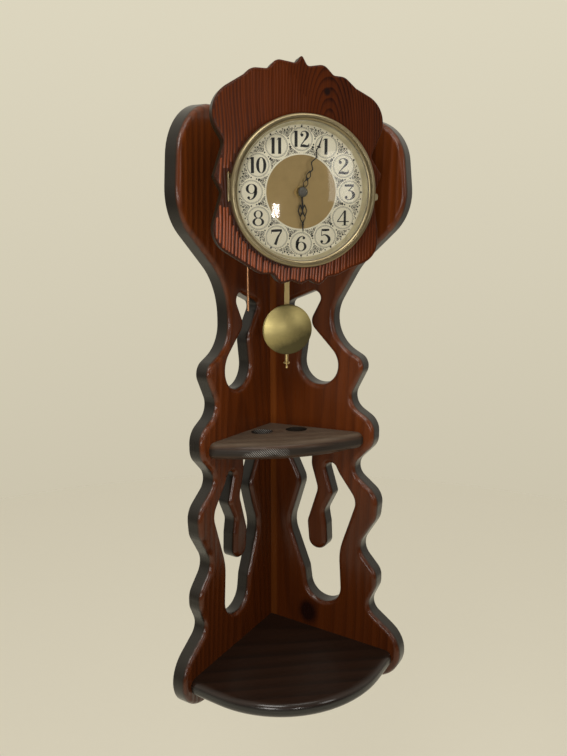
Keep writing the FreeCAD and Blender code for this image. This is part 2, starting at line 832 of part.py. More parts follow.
def back_case():
    shell = case_half(CASE_FRONT_D, case_d, False)
    half = BATTERY_R + 1.0
    for side in (-1, 1):
        wall_x = sorted((side * bay_x, side * (bay_x + BAY_WALL)))
        low = ZD - CASE_BELOW + CASE_WALL / 2
        rib = box(wall_x[0], wall_x[1], deep(CASE_FRONT_D), deep(case_d - 0.5), low, bay_z + half)
        shell = shell.fuse(rib)
    window = box(-bay_x, bay_x, deep(case_d - CASE_WALL - 1), deep(case_d + 1), bay_z - half, bay_z + half)
    shell = shell.cut(window)
    pivot_boss = rod(PIVOT_BOSS_R, (0, -pivot_root, pivot_z), (0, -hanger_front - END_PLAY, pivot_z))
    boss_end = (hammer_x, -hammer_front - END_PLAY, hammer_z)
    hammer_boss = rod(HAMMER_BOSS_R, (hammer_x, -pivot_root, hammer_z), boss_end)
    shell = shell.fuse([pivot_boss, hammer_boss])
    return shell


pivot_back = PENDULUM_OUT + STRIP_T / 2 - END_PLAY
pivot_pin = rod(PIVOT_PIN_R, (0, -pivot_root + 0.5, pivot_z), (0, -pivot_back, pivot_z))
pivot_head = rod(PIVOT_HEAD_R, (0, -pivot_back, pivot_z), (0, 1.6 - pivot_back, pivot_z))
nodes["pivot_pin"] = one(pivot_pin.fuse(pivot_head))
hammer_back = PENDULUM_OUT - HAMMER_T / 2 - END_PLAY
hammer_pin = rod(HAMMER_PIN_R, (hammer_x, -pivot_root + 0.5, hammer_z), (hammer_x, -hammer_back, hammer_z))
head_at = (hammer_x, -hammer_back, hammer_z)
hammer_head = rod(HAMMER_PIN_HEAD_R, head_at, (hammer_x, 1.0 - hammer_back, hammer_z))
nodes["hammer_pin"] = one(hammer_pin.fuse(hammer_head))
setter_hole = rod(
    ARBOR_R + RUN_FIT,
    (setter_at[0], deep(CASE_FRONT_D), ZD + setter_at[1]),
    (setter_at[0], deep(case_d + 1), ZD + setter_at[1]),
)
nodes["case_back"] = one(back_case().cut([pivot_pin, hammer_pin, setter_hole] + case_holes))

# Centre bush and its nut clamp the movement, the board and the dial
bush_end = DIAL_FACE + BUSH_PROUD
flange = spun(
    [
        (TUBE_R + RUN_FIT, 0),
        (BUSH_FLANGE_R, 0),
        (BUSH_FLANGE_R, BUSH_FLANGE_T),
        (BUSH_R, BUSH_FLANGE_T),
        (BUSH_R, bush_end - BOARD_OUT + CASE_WALL + BUSH_FLANGE_T),
        (TUBE_R + RUN_FIT, bush_end - BOARD_OUT + CASE_WALL + BUSH_FLANGE_T),
    ],
    (0, deep(CASE_WALL + BUSH_FLANGE_T), ZD),
    FRONT,
)
nodes["centre_bush"] = flange
hex_points = []
for i in range(6):
    a = math.radians(60 * i)
    hex_r = BUSH_NUT_FLATS / math.sqrt(3)
    hex_points.append(V(hex_r * math.cos(a), -DIAL_FACE, ZD + hex_r * math.sin(a)))
hex_nut = Part.Face(Part.makePolygon(hex_points + hex_points[:1])).extrude(V(0, -BUSH_NUT_T, 0))
nodes["bush_nut"] = one(hex_nut.cut(dial_hole))


# Gears: stub involute teeth from the rules above
def gear(teeth, module, centre, start, depth, phase):
    pitch = module * teeth / 2
    pressure = math.radians(GEAR_PRESSURE)
    base = pitch * math.cos(pressure)
    tip = pitch + GEAR_ADDENDUM * module
    root = pitch - GEAR_DEDENDUM * module
    half = math.pi / (2 * teeth) - GEAR_BACKLASH / (4 * pitch) + math.tan(pressure) - pressure
    low = max(base, root)
    steps = 4
    flank = []
    for i in range(steps):
        r = low + (tip - low) * i / (steps - 1)
        a = math.acos(base / r)
        flank.append((r, half - math.tan(a) + a))
    flank = [(root, flank[0][1])] + flank
    points = []
    for k in range(teeth):
        middle = phase + 2 * math.pi * k / teeth
        points += [(r, middle - a) for r, a in flank]
        points += [(r, middle + a) for r, a in reversed(flank)]
    ring = [V(centre[0] + r * math.cos(a), deep(start), ZD + centre[1] + r * math.sin(a)) for r, a in points]
    return Part.Face(Part.makePolygon(ring + ring[:1])).extrude(V(0, depth, 0))


def arbor(r, centre, start, end):
    z = ZD + centre[1]
    return rod(r, (centre[0], deep(start), z), (centre[0], deep(end), z))


DIAL_CENTRE = (0.0, 0.0)
hour_hand_out = bush_end + HAND_GAP / 2
tube_end = hour_hand_out + HAND_T + 0.6
minute_hand_out = hour_hand_out + HAND_T + HAND_STEP
arbor_end = minute_hand_out + HAND_T + HAND_NUT_T - 0.6
hour_back = HOUR_WHEEL_IN + HOUR_WHEEL_T
pinion_in = MOTION_WHEEL_IN - 0.3
pinion_t = MOTION_WHEEL_T + 0.6

minute_shape = arbor(ARBOR_R, DIAL_CENTRE, BOARD_OUT - minute_hand_out, BRIDGE_IN + BRIDGE_T + 0.8)
minute_shape = minute_shape.fuse([
    gear(PINION_TEETH, MINUTE_MODULE, DIAL_CENTRE, pinion_in, pinion_t, 0.0),
    arbor(HAND_THREAD_R, DIAL_CENTRE, BOARD_OUT - arbor_end, BOARD_OUT - minute_hand_out),
])
nodes["minute_arbor"] = one(minute_shape)

half_tooth = math.pi / HOUR_TEETH
hour_shape = gear(HOUR_TEETH, HOUR_MODULE, DIAL_CENTRE, HOUR_WHEEL_IN, HOUR_WHEEL_T, half_tooth)
hour_shape = hour_shape.fuse(arbor(TUBE_R, DIAL_CENTRE, BOARD_OUT - tube_end, hour_back + 0.4))
hour_bore = arbor(ARBOR_R + RUN_FIT, DIAL_CENTRE, BOARD_OUT - tube_end - 1, hour_back + 1)
nodes["hour_wheel"] = one(hour_shape.cut(hour_bore))

motion_phase = math.pi + math.pi / MOTION_TEETH
motion_shape = gear(MOTION_TEETH, MINUTE_MODULE, motion_at, MOTION_WHEEL_IN, MOTION_WHEEL_T, motion_phase)
pinion_deep = MOTION_WHEEL_IN - HOUR_WHEEL_IN + 0.2
motion_shape = motion_shape.fuse([
    gear(PINION_TEETH, HOUR_MODULE, motion_at, HOUR_WHEEL_IN - 0.2, pinion_deep, math.pi),
    arbor(2 * STUD_R, motion_at, MOTION_WHEEL_IN, BRIDGE_IN - END_PLAY),
])
motion_bore = arbor(STUD_R + RUN_FIT, motion_at, 0, BRIDGE_IN)
nodes["motion_wheel"] = one(motion_shape.cut(motion_bore))

knob_start = case_d + KNOB_CLEAR
setter_shape = gear(PINION_TEETH, MINUTE_MODULE, setter_at, pinion_in, pinion_t, turn + math.pi)
knob = spun(
    [
        (0, 0),
        (KNOB_R - 0.6, 0),
        (KNOB_R, 0.6),
        (KNOB_R, KNOB_T - 0.6),
        (KNOB_R - 0.6, KNOB_T),
        (0, KNOB_T),
    ],
    (setter_at[0], deep(knob_start), ZD + setter_at[1]),
    (0, 1, 0),
)
grips = []
for i in range(18):
    a = 2 * math.pi * i / 18
    at = (setter_at[0] + (KNOB_R + 0.3) * math.cos(a), setter_at[1] + (KNOB_R + 0.3) * math.sin(a))
    grips.append(arbor(0.6, at, knob_start - 1, knob_start + KNOB_T + 1))
setter_arbor = arbor(ARBOR_R, setter_at, CASE_WALL + 0.6, knob_start + 1)
setter_shape = setter_shape.fuse([setter_arbor, knob.cut(grips)])
nodes["set_knob"] = one(setter_shape)

# Train bridge on two legs carries the rear ends of the minute arbor and the stud
bridge = plate(
    [(-BRIDGE_LEFT, ZD, BRIDGE_W / 2), (BRIDGE_RIGHT, ZD + BRIDGE_LEG_R, BRIDGE_W / 2)],
    lambda x, z: V(x, deep(BRIDGE_IN), z),
    V(0, BRIDGE_T, 0),
)
bridge = bridge.fuse([
    arbor(BRIDGE_LEG_R, (-BRIDGE_LEFT, 0.0), CASE_WALL, BRIDGE_IN),
    arbor(BRIDGE_LEG_R, (BRIDGE_RIGHT, BRIDGE_LEG_R), CASE_WALL, BRIDGE_IN),
])
nodes["train_bridge"] = one(bridge.cut(arbor(ARBOR_R + RUN_FIT, DIAL_CENTRE, 0, 2 * CASE_FRONT_D)))

# Sealed drive, circuit board, cell and contacts
motor = box(
    MOTOR_AT[0], MOTOR_AT[0] + MOTOR_SIZE[0],
    deep(CASE_WALL), deep(CASE_WALL + MOTOR_SIZE[2]),
    ZD + MOTOR_AT[1], ZD + MOTOR_AT[1] + MOTOR_SIZE[1],
)
motor = motor.makeFillet(1.0, [e for e in motor.Edges if e.BoundBox.YLength > 1])
coil_z = ZD + MOTOR_AT[1] + MOTOR_SIZE[1] / 3
coil = rod(3.0, (MOTOR_AT[0] + 3, deep(CASE_WALL + MOTOR_SIZE[2]), coil_z),
           (MOTOR_AT[0] + MOTOR_SIZE[0] - 3, deep(CASE_WALL + MOTOR_SIZE[2]), coil_z))
nodes["step_motor"] = one(motor.fuse(coil))
nodes["circuit_board"] = box(
    BOARD_PC_AT[0], BOARD_PC_AT[0] + BOARD_PC[0],
    deep(CASE_WALL), deep(CASE_WALL + BOARD_PC[2]),
    ZD + BOARD_PC_AT[1], ZD + BOARD_PC_AT[1] + BOARD_PC[1],
)
cell_y = deep(battery_deep)
cell = spun(
    [
        (0, 0),
        (BATTERY_R - 0.5, 0),
        (BATTERY_R, 0.5),
        (BATTERY_R, BATTERY_L - 2.0),
        (BATTERY_R - 0.7, BATTERY_L - 1.4),
        (2.75, BATTERY_L - 1.4),
        (2.75, BATTERY_L),
        (0, BATTERY_L),
    ],
    (-BATTERY_L / 2, cell_y, bay_z),
    (1, 0, 0),
)
nodes["battery"] = cell
contacts = []
for side in (-1, 1):
    span = sorted((side * BATTERY_L / 2, side * bay_x))
    half = CONTACT_W / 2
    contacts.append(box(span[0], span[1], cell_y - half, cell_y + half, bay_z - half, bay_z + half))
nodes["battery_contacts"] = group(contacts)
coil_at = ZD + COIL_ABOVE
drive = rod(COIL_R, (0, deep(case_d - CASE_WALL - COIL_T), coil_at), (0, deep(case_d - CASE_WALL), coil_at))
nodes["pendulum_coil"] = drive.cut(rod(COIL_HOLE_R, (0, deep(0), coil_at), (0, deep(case_d), coil_at)))


# Hands, drawn pointing to twelve and turned to the time shown
def hand_face(circles):
    return Part.Face(chain(circles, lambda x, z: V(x, 0, z)))


def waved(start, end, waves, sway, width):
    """Serpentine stem between two distances from the hub."""
    left = []
    right = []
    steps = 8 * waves
    for i in range(steps + 1):
        f = i / steps
        z = start + (end - start) * f
        x = sway * (1 - 0.5 * f) * math.sin(2 * math.pi * waves * f)
        left.append(V(x - width / 2, 0, z))
        right.append(V(x + width / 2, 0, z))
    one_side = Part.BSplineCurve()
    one_side.interpolate(left)
    other = Part.BSplineCurve()
    other.interpolate(right)
    edges = [
        one_side.toShape(),
        Part.LineSegment(left[-1], right[-1]).toShape(),
        other.toShape(),
        Part.LineSegment(right[0], left[0]).toShape(),
    ]
    return Part.Face(Part.Wire(Part.sortEdges(edges)[0]))


def spear(length, rise, wide, tip):
    base = tip - length
    barb = base + rise
    neck = barb + 1.2
    points = [(0, base), (wide, barb), (0.9, neck), (0.3, tip), (-0.3, tip), (-0.9, neck), (-wide, barb)]
    ring = [V(x, 0, z) for x, z in points]
    return Part.Face(Part.makePolygon(ring + ring[:1]))


def open_loop(low, high, wide, rail, shift=0.0):
    """Pointed loop of two bowed rails, on the hand's line or beside it."""
    mid = (low + high) / 2
    end = 0.6
    off = wide - 3.0
    outer = hand_face([
        (shift, high, end), (shift + off, mid, 3.0), (shift, low, end), (shift - off, mid, 3.0),
    ])
    inner = hand_face([
        (shift, high - rail - 1.0, 0.3), (shift + off, mid, 3.0 - rail),
        (shift, low + rail + 1.0, 0.3), (shift - off, mid, 3.0 - rail),
    ])
    return outer.cut(inner)


def hand(pieces, bore, out, angle):
    flat = Part.Face(Part.Wire(Part.makeCircle(HAND_HUB_R, V(0, 0, 0), V(0, 1, 0))))
    solid = flat.extrude(V(0, -HAND_T, 0)).fuse([p.extrude(V(0, -HAND_T, 0)) for p in pieces])
    solid = solid.cut(rod(bore, (0, 1, 0), (0, -HAND_T - 1, 0)))
    solid = one(solid)
    solid.rotate(V(0, 0, 0), V(0, 1, 0), angle)
    solid.translate(V(0, -out, ZD))
    return solid


hour_pieces = [
    waved(HAND_HUB_R - 1, 18.0, 1, 0.3, 1.8),
    open_loop(13.0, 24.5, 2.6, 0.9, -2.3),
    open_loop(13.0, 24.5, 2.6, 0.9, 2.3),
    open_loop(20.0, 31.5, 3.1, 0.9),
    spear(HOUR_SPEAR_L, 1.5, 1.3, HOUR_HAND_L),
]
nodes["hour_hand"] = hand(hour_pieces, TUBE_R + 0.01, hour_hand_out, HOUR_ANGLE)
minute_pieces = [
    open_loop(HAND_HUB_R - 0.8, 14.5, 2.7, 0.8),
    open_loop(12.5, 22.0, 2.5, 0.8),
    waved(21.0, MINUTE_HAND_L - MINUTE_SPEAR_L + 1.0, 2, 1.9, 1.3),
    spear(MINUTE_SPEAR_L, 1.2, 2.4, MINUTE_HAND_L),
]
nodes["minute_hand"] = hand(minute_pieces, HAND_THREAD_R + 0.01, minute_hand_out, MINUTE_ANGLE)
nut_out = minute_hand_out + HAND_T
nut_bore = HAND_THREAD_R + 0.01
nodes["hand_nut"] = spun(
    [
        (nut_bore, 0),
        (HAND_NUT_R, 0),
        (HAND_NUT_R, 0.9),
        (HAND_NUT_R * 0.85, HAND_NUT_T * 0.72, 0),
        (HAND_NUT_R * 0.5, HAND_NUT_T),
        (0, HAND_NUT_T),
        (0, HAND_NUT_T - 0.5),
        (nut_bore, HAND_NUT_T - 0.5),
    ],
    (0, -nut_out, ZD),
    FRONT,
)

# Pendulum: hanger with a drive magnet, strip, sliding bob and rating nut
strip_face = PENDULUM_OUT + STRIP_T / 2
hanger_low = pivot_z - HANGER_L
hanger = plate(
    [(0, pivot_z, HANGER_EYE_R), (0, hanger_low + HANGER_W / 2, HANGER_W / 2)],
    lambda x, z: V(x, -strip_face, z),
    V(0, -HANGER_T, 0),
)
hook_z = hanger_low + HOOK_UP
hook = rod(HOOK_R, (0, -strip_face, hook_z), (0, 0.6 - strip_face + STRIP_T, hook_z))
hanger = hanger.fuse(hook).cut(rod(PIVOT_PIN_R + RUN_FIT, (0, -BOARD_OUT, pivot_z), (0, 0, pivot_z)))
nodes["pendulum_hanger"] = one(hanger)
magnet_z = ZD + COIL_ABOVE
nodes["pendulum_magnet"] = spun(
    [(0, 0), (MAGNET_R, 0), (MAGNET_R, MAGNET_T - 0.4), (MAGNET_R - 0.4, MAGNET_T), (0, MAGNET_T)],
    (0, -hanger_front, magnet_z),
    FRONT,
)
bob_z = up(BOB_H)
strip_low = bob_z - CLIP_L / 2 - 2.0
strip = plate(
    [
        (0, hook_z + 1, STRIP_W / 2),
        (STRIP_W / 2 - 1, strip_low + 1, 1.0),
        (1 - STRIP_W / 2, strip_low + 1, 1.0),
    ],
    lambda x, z: V(x, -strip_face, z),
    V(0, STRIP_T, 0),
)
strip = strip.cut(rod(HOOK_R + 0.02, (0, -BOARD_OUT, hook_z), (0, 0, hook_z)))
rating_top = strip_low + 6.0
screw_way = rod(RATING_R, (0, -PENDULUM_OUT, rating_top), (0, -PENDULUM_OUT, strip_low - 1))
nodes["pendulum_rod"] = one(strip.cut(screw_way))
tip_z = up(RATING_TIP_H)
nodes["rating_screw"] = spun(
    [
        (0, 0),
        (0.5 * RATING_TIP_R, 0),
        (RATING_TIP_R, 1.2, 0),
        (RATING_R, 2.4),
        (RATING_R, rating_top - tip_z),
        (0, rating_top - tip_z),
    ],
    (0, -PENDULUM_OUT, tip_z),
    (0, 0, 1),
)
clip_front = PENDULUM_OUT + CLIP_T / 2
clip_low = bob_z - CLIP_L / 2
nodes["bob_disc"] = spun(
    [
        (0, 0),
        (BOB_R - 0.6, 0),
        (BOB_R, 0.6),
        (BOB_R, BOB_RIM),
        (BOB_R - 1.2, BOB_RIM + 0.8),
        dome(BOB_R - 1.2, BOB_DOME, BOB_RIM + 0.8),
        (0, BOB_RIM + 0.8 + BOB_DOME),
    ],
    (0, -clip_front, bob_z),
    FRONT,
)
clip = box(
    -CLIP_W / 2, CLIP_W / 2,
    -clip_front, CLIP_T - clip_front,
    clip_low, clip_low + CLIP_L,
)
nut_top = up(RATING_NUT_H) + RATING_NUT_T / 2
sleeve = rod(SLEEVE_R, (0, -PENDULUM_OUT, nut_top + RATING_GAP), (0, -PENDULUM_OUT, clip_low + 3))
slot_w = STRIP_W / 2 + SLIDE_FIT
slot_t = STRIP_T / 2 + SLIDE_FIT
slot_end = clip_low + CLIP_L + 1
slot = box(-slot_w, slot_w, -PENDULUM_OUT - slot_t, -PENDULUM_OUT + slot_t, clip_low - 8, slot_end)
screw_slot = rod(RATING_R + SLIDE_FIT, (0, -PENDULUM_OUT, nut_top - 1), (0, -PENDULUM_OUT, slot_end))
nodes["bob_clip"] = one(clip.fuse(sleeve).cut([slot, screw_slot]))
nut_low = up(RATING_NUT_H) - RATING_NUT_T / 2
nut = spun(
    [
        (RATING_R + SLIDE_FIT, 0),
        (RATING_NUT_R - 1.2, 0),
        (RATING_NUT_R, 0.8),
        (RATING_NUT_R, RATING_NUT_T - 0.8),
        (RATING_NUT_R - 1.2, RATING_NUT_T),
        (RATING_R + SLIDE_FIT, RATING_NUT_T),
    ],
    (0, -PENDULUM_OUT, nut_low),
    (0, 0, 1),
)
flutes = []
for i in range(14):
    a = 2 * math.pi * i / 14
    x = (RATING_NUT_R + 0.25) * math.cos(a)
    y = (RATING_NUT_R + 0.25) * math.sin(a) - PENDULUM_OUT
    flutes.append(rod(0.55, (x, y, nut_low - 1), (x, y, nut_low + RATING_NUT_T + 1)))
nodes["rating_nut"] = one(nut.cut(flutes))

# Chime block on the left cleat, its rod and the hammer
block_x = -CLEAT_X
block_low = ZD + BLOCK_ABOVE
block = box(
    block_x, block_x + BLOCK_T,
    -PENDULUM_OUT - BLOCK_W / 2, -PENDULUM_OUT + BLOCK_W / 2,
    block_low, block_low + BLOCK_L,
)
block = block.makeFillet(1.5, [e for e in block.Edges if e.BoundBox.XMin > block_x + BLOCK_T / 2])


def block_screws(grow):
    made = []
    for side in (-1, 1):
        at = (block_x + BLOCK_T, -PENDULUM_OUT + side * BLOCK_SCREW_SPREAD / 2, block_low + BLOCK_L / 2)
        made.append(screw(BLOCK_SCREW_R, BLOCK_SCREW_HEAD_R, BLOCK_SCREW_L, at, (-1, 0, 0), grow))
    return made


chime = rod(ROD_R, (ROD_X, -PENDULUM_OUT, up(ROD_LOW_H)), (ROD_X, -PENDULUM_OUT, block_low + ROD_IN_BLOCK))
block_holes = block_screws(SCREW_FIT)
nodes["chime_block_screws"] = group(block_screws(0.0))
nodes["chime_rod"] = chime
nodes["chime_block"] = one(block.cut([chime] + block_holes))
nodes["left_cleat"] = one(left_cleat.cut(block_holes))
head_z = hammer_z - HAMMER_DROP
eye = rod(HAMMER_EYE_R, (hammer_x, -hammer_front, hammer_z), (hammer_x, HAMMER_T - hammer_front, hammer_z))
arm_top = (hammer_x, -PENDULUM_OUT, hammer_z - HAMMER_EYE_R + 0.5)
arm = rod(HAMMER_ARM_R, arm_top, (hammer_x, -PENDULUM_OUT, head_z))
head = spun(
    [
        (0, 0),
        (HAMMER_HEAD_R - 0.8, 0),
        (HAMMER_HEAD_R, 0.8),
        (HAMMER_HEAD_R, HAMMER_HEAD_L - 0.8),
        (HAMMER_HEAD_R - 0.8, HAMMER_HEAD_L),
        (0, HAMMER_HEAD_L),
    ],
    (hammer_x - HAMMER_HEAD_L / 2, -PENDULUM_OUT, head_z),
    (1, 0, 0),
)
hammer_bore = rod(HAMMER_PIN_R + RUN_FIT, (hammer_x, -BOARD_OUT, hammer_z), (hammer_x, 0, hammer_z))
nodes["chime_hammer"] = one(eye.fuse([arm, head]).cut(hammer_bore))

for name in sorted(nodes):
    nodes[name].exportStep("parts/" + name + ".step")
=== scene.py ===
import bpy
import json
import math
import random
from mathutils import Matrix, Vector
from mathutils.bvhtree import BVHTree


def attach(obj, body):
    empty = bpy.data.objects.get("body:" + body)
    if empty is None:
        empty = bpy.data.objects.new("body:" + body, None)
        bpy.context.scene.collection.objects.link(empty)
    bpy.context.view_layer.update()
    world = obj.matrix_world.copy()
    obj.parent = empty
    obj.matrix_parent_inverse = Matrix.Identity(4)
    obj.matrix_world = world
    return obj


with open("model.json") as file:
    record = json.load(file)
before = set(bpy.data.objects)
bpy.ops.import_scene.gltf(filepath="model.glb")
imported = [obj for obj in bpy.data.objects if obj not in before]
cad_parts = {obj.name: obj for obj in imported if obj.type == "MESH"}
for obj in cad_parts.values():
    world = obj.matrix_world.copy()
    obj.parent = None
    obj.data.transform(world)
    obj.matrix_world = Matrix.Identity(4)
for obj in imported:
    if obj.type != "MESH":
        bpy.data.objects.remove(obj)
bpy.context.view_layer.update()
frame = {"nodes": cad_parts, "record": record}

nodes = frame["nodes"]

# Shared frame in metres: the room corner is the Z axis and the dial faces -Y
MM = 0.001
X_AXIS = (1.0, 0.0, 0.0)
Y_AXIS = (0.0, 1.0, 0.0)
Z_AXIS = (0.0, 0.0, 1.0)
FRONT = (0.0, -1.0, 0.0)
DIAGONAL = math.sqrt(0.5)
FRONT_LEFT = (-DIAGONAL, -DIAGONAL, 0.0)
FRONT_RIGHT = (DIAGONAL, -DIAGONAL, 0.0)
DIAL = (0.0, -0.1755, -0.053)
BOARD_Y = -0.176
COIL = (0.0, -0.127, -0.049)
BOB = (0.0, 0.0, -0.2055)
BOB_R = 0.029


# Shader helpers
class Tree:
    """Writes shader nodes; a value may be a number, a colour or another node's socket."""

    def __init__(self, tree):
        self.tree = tree

    def put(self, socket, value):
        if isinstance(value, bpy.types.NodeSocket):
            self.tree.links.new(value, socket)
        elif isinstance(value, tuple) and len(value) == 3 and len(socket.default_value) == 4:
            socket.default_value = value + (1.0,)
        else:
            socket.default_value = value

    def add(self, kind, **props):
        node = self.tree.nodes.new(kind)
        for key, value in props.items():
            setattr(node, key, value)
        return node

    def math(self, op, a, b=0.0, c=0.0):
        node = self.add("ShaderNodeMath", operation=op)
        for socket, value in zip(node.inputs, (a, b, c)):
            self.put(socket, value)
        return node.outputs[0]

    def plus(self, a, b):
        return self.math("ADD", a, b)

    def minus(self, a, b):
        return self.math("SUBTRACT", a, b)

    def times(self, a, b):
        return self.math("MULTIPLY", a, b)

    def over(self, a, b):
        return self.math("DIVIDE", a, b)

    def vary(self, base, noise, weight, middle=0.5):
        """Adds a noise that swings about its middle."""
        return self.plus(base, self.times(self.minus(noise, middle), weight))

    def vmath(self, op, a, b=(0.0, 0.0, 0.0)):
        node = self.add("ShaderNodeVectorMath", operation=op)
        self.put(node.inputs[0], a)
        self.put(node.inputs[1], b)
        return node.outputs["Value" if op in ("DOT_PRODUCT", "LENGTH") else "Vector"]

    def join(self, x, y, z):
        node = self.add("ShaderNodeCombineXYZ")
        for socket, value in zip(node.inputs, (x, y, z)):
            self.put(socket, value)
        return node.outputs[0]

    def split(self, vector):
        node = self.add("ShaderNodeSeparateXYZ")
        self.put(node.inputs[0], vector)
        return node.outputs

    def coords(self, kind="Object"):
        return self.add("ShaderNodeTexCoord").outputs[kind]

    def noise(self, vector, scale=1.0, detail=3.0, rough=0.55):
        node = self.add("ShaderNodeTexNoise")
        self.put(node.inputs["Vector"], vector)
        self.put(node.inputs["Scale"], scale)
        self.put(node.inputs["Detail"], detail)
        self.put(node.inputs["Roughness"], rough)
        return node.outputs[0]

    def ramp(self, fac, *stops):
        node = self.add("ShaderNodeValToRGB")
        self.put(node.inputs[0], fac)
        items = node.color_ramp.elements
        while len(items) < len(stops):
            items.new(0.5)
        for item, (place, colour) in zip(items, stops):
            item.position = place
            item.color = (colour if isinstance(colour, tuple) else (colour,) * 3) + (1.0,)
        return node.outputs[0]

    def mix(self, fac, a, b, blend="MIX"):
        node = self.add("ShaderNodeMix", data_type="RGBA", blend_type=blend)
        self.put(node.inputs[0], fac)
        self.put(node.inputs[6], a)
        self.put(node.inputs[7], b)
        return node.outputs[2]


class Shade(Tree):
    """A material under construction."""

    SOCKETS = {
        "colour": "Base Color", "rough": "Roughness", "metal": "Metallic", "coat": "Coat Weight",
        "coat_rough": "Coat Roughness", "spec": "Specular IOR Level",
    }

    def __init__(self, name):
        self.mat = bpy.data.materials.new(name)
        self.mat.use_nodes = True
        super().__init__(self.mat.node_tree)
        self.bsdf = self.tree.nodes["Principled BSDF"]
        self.out = self.tree.nodes["Material Output"]

    def bump(self, height, distance):
        node = self.add("ShaderNodeBump")
        self.put(node.inputs["Height"], height)
        self.put(node.inputs["Distance"], distance)
        self.put(node.inputs["Strength"], 1.0)
        self.put(self.bsdf.inputs["Normal"], node.outputs[0])

    def set(self, **values):
        for key, value in values.items():
            self.put(self.bsdf.inputs[self.SOCKETS[key]], value)


def scaled(colour, share):
    return tuple(share * c for c in colour)


# Figure of the wood: noise cells per metre across the board, through it and along the grain
FIBRE = (900.0, 900.0, 14.0)
STREAK = (120.0, 60.0, 2.0)
PATCH = (9.0, 5.0, 2.4)
WANDER = (7.0, 7.0, 1.6)
WIDE = (22.0, 9.0, 3.2)
SMOKE = (60.0, 60.0, 20.0)
SETTLE = (30.0, 30.0, 30.0)
# How far the grain wanders in metres, how it bends round a knot, a knot's cover, a height below all boards
WANDER_REACH = 0.035
WIDE_REACH = 0.006
KNOT_STRETCH = 0.45
KNOT_PULL = -0.9
KNOT_COVER = 0.93
BELOW_ALL = -9.0
# Rasp strokes: pitch in metres, slant, rise and fade per metre, share of the wood their pale colour covers as
# a painted glint, and depth
RASP_PITCH = 0.0013
RASP_SLANT = 0.9
RASP_FULL = 770.0
RASP_FADE = 150.0
RASP_GLINT_COVER = 0.85
RASP_DEPTH = -1.5
# Edge of the pale strip per metre, and the darkest shade of a cut edge
STRIP_EDGE = 300.0
EDGE_SHADE = 0.4
# Colours of knots, the darkest painted shade, the pale rasp strokes that paint a glint, and dust
KNOT = (0.010, 0.004, 0.003)
PAINTED_SHADE_DARK = (0.006, 0.0008, 0.0001)
RASP_GLINT_PALE = (0.72, 0.70, 0.67)
DUST = (0.195, 0.155, 0.115)


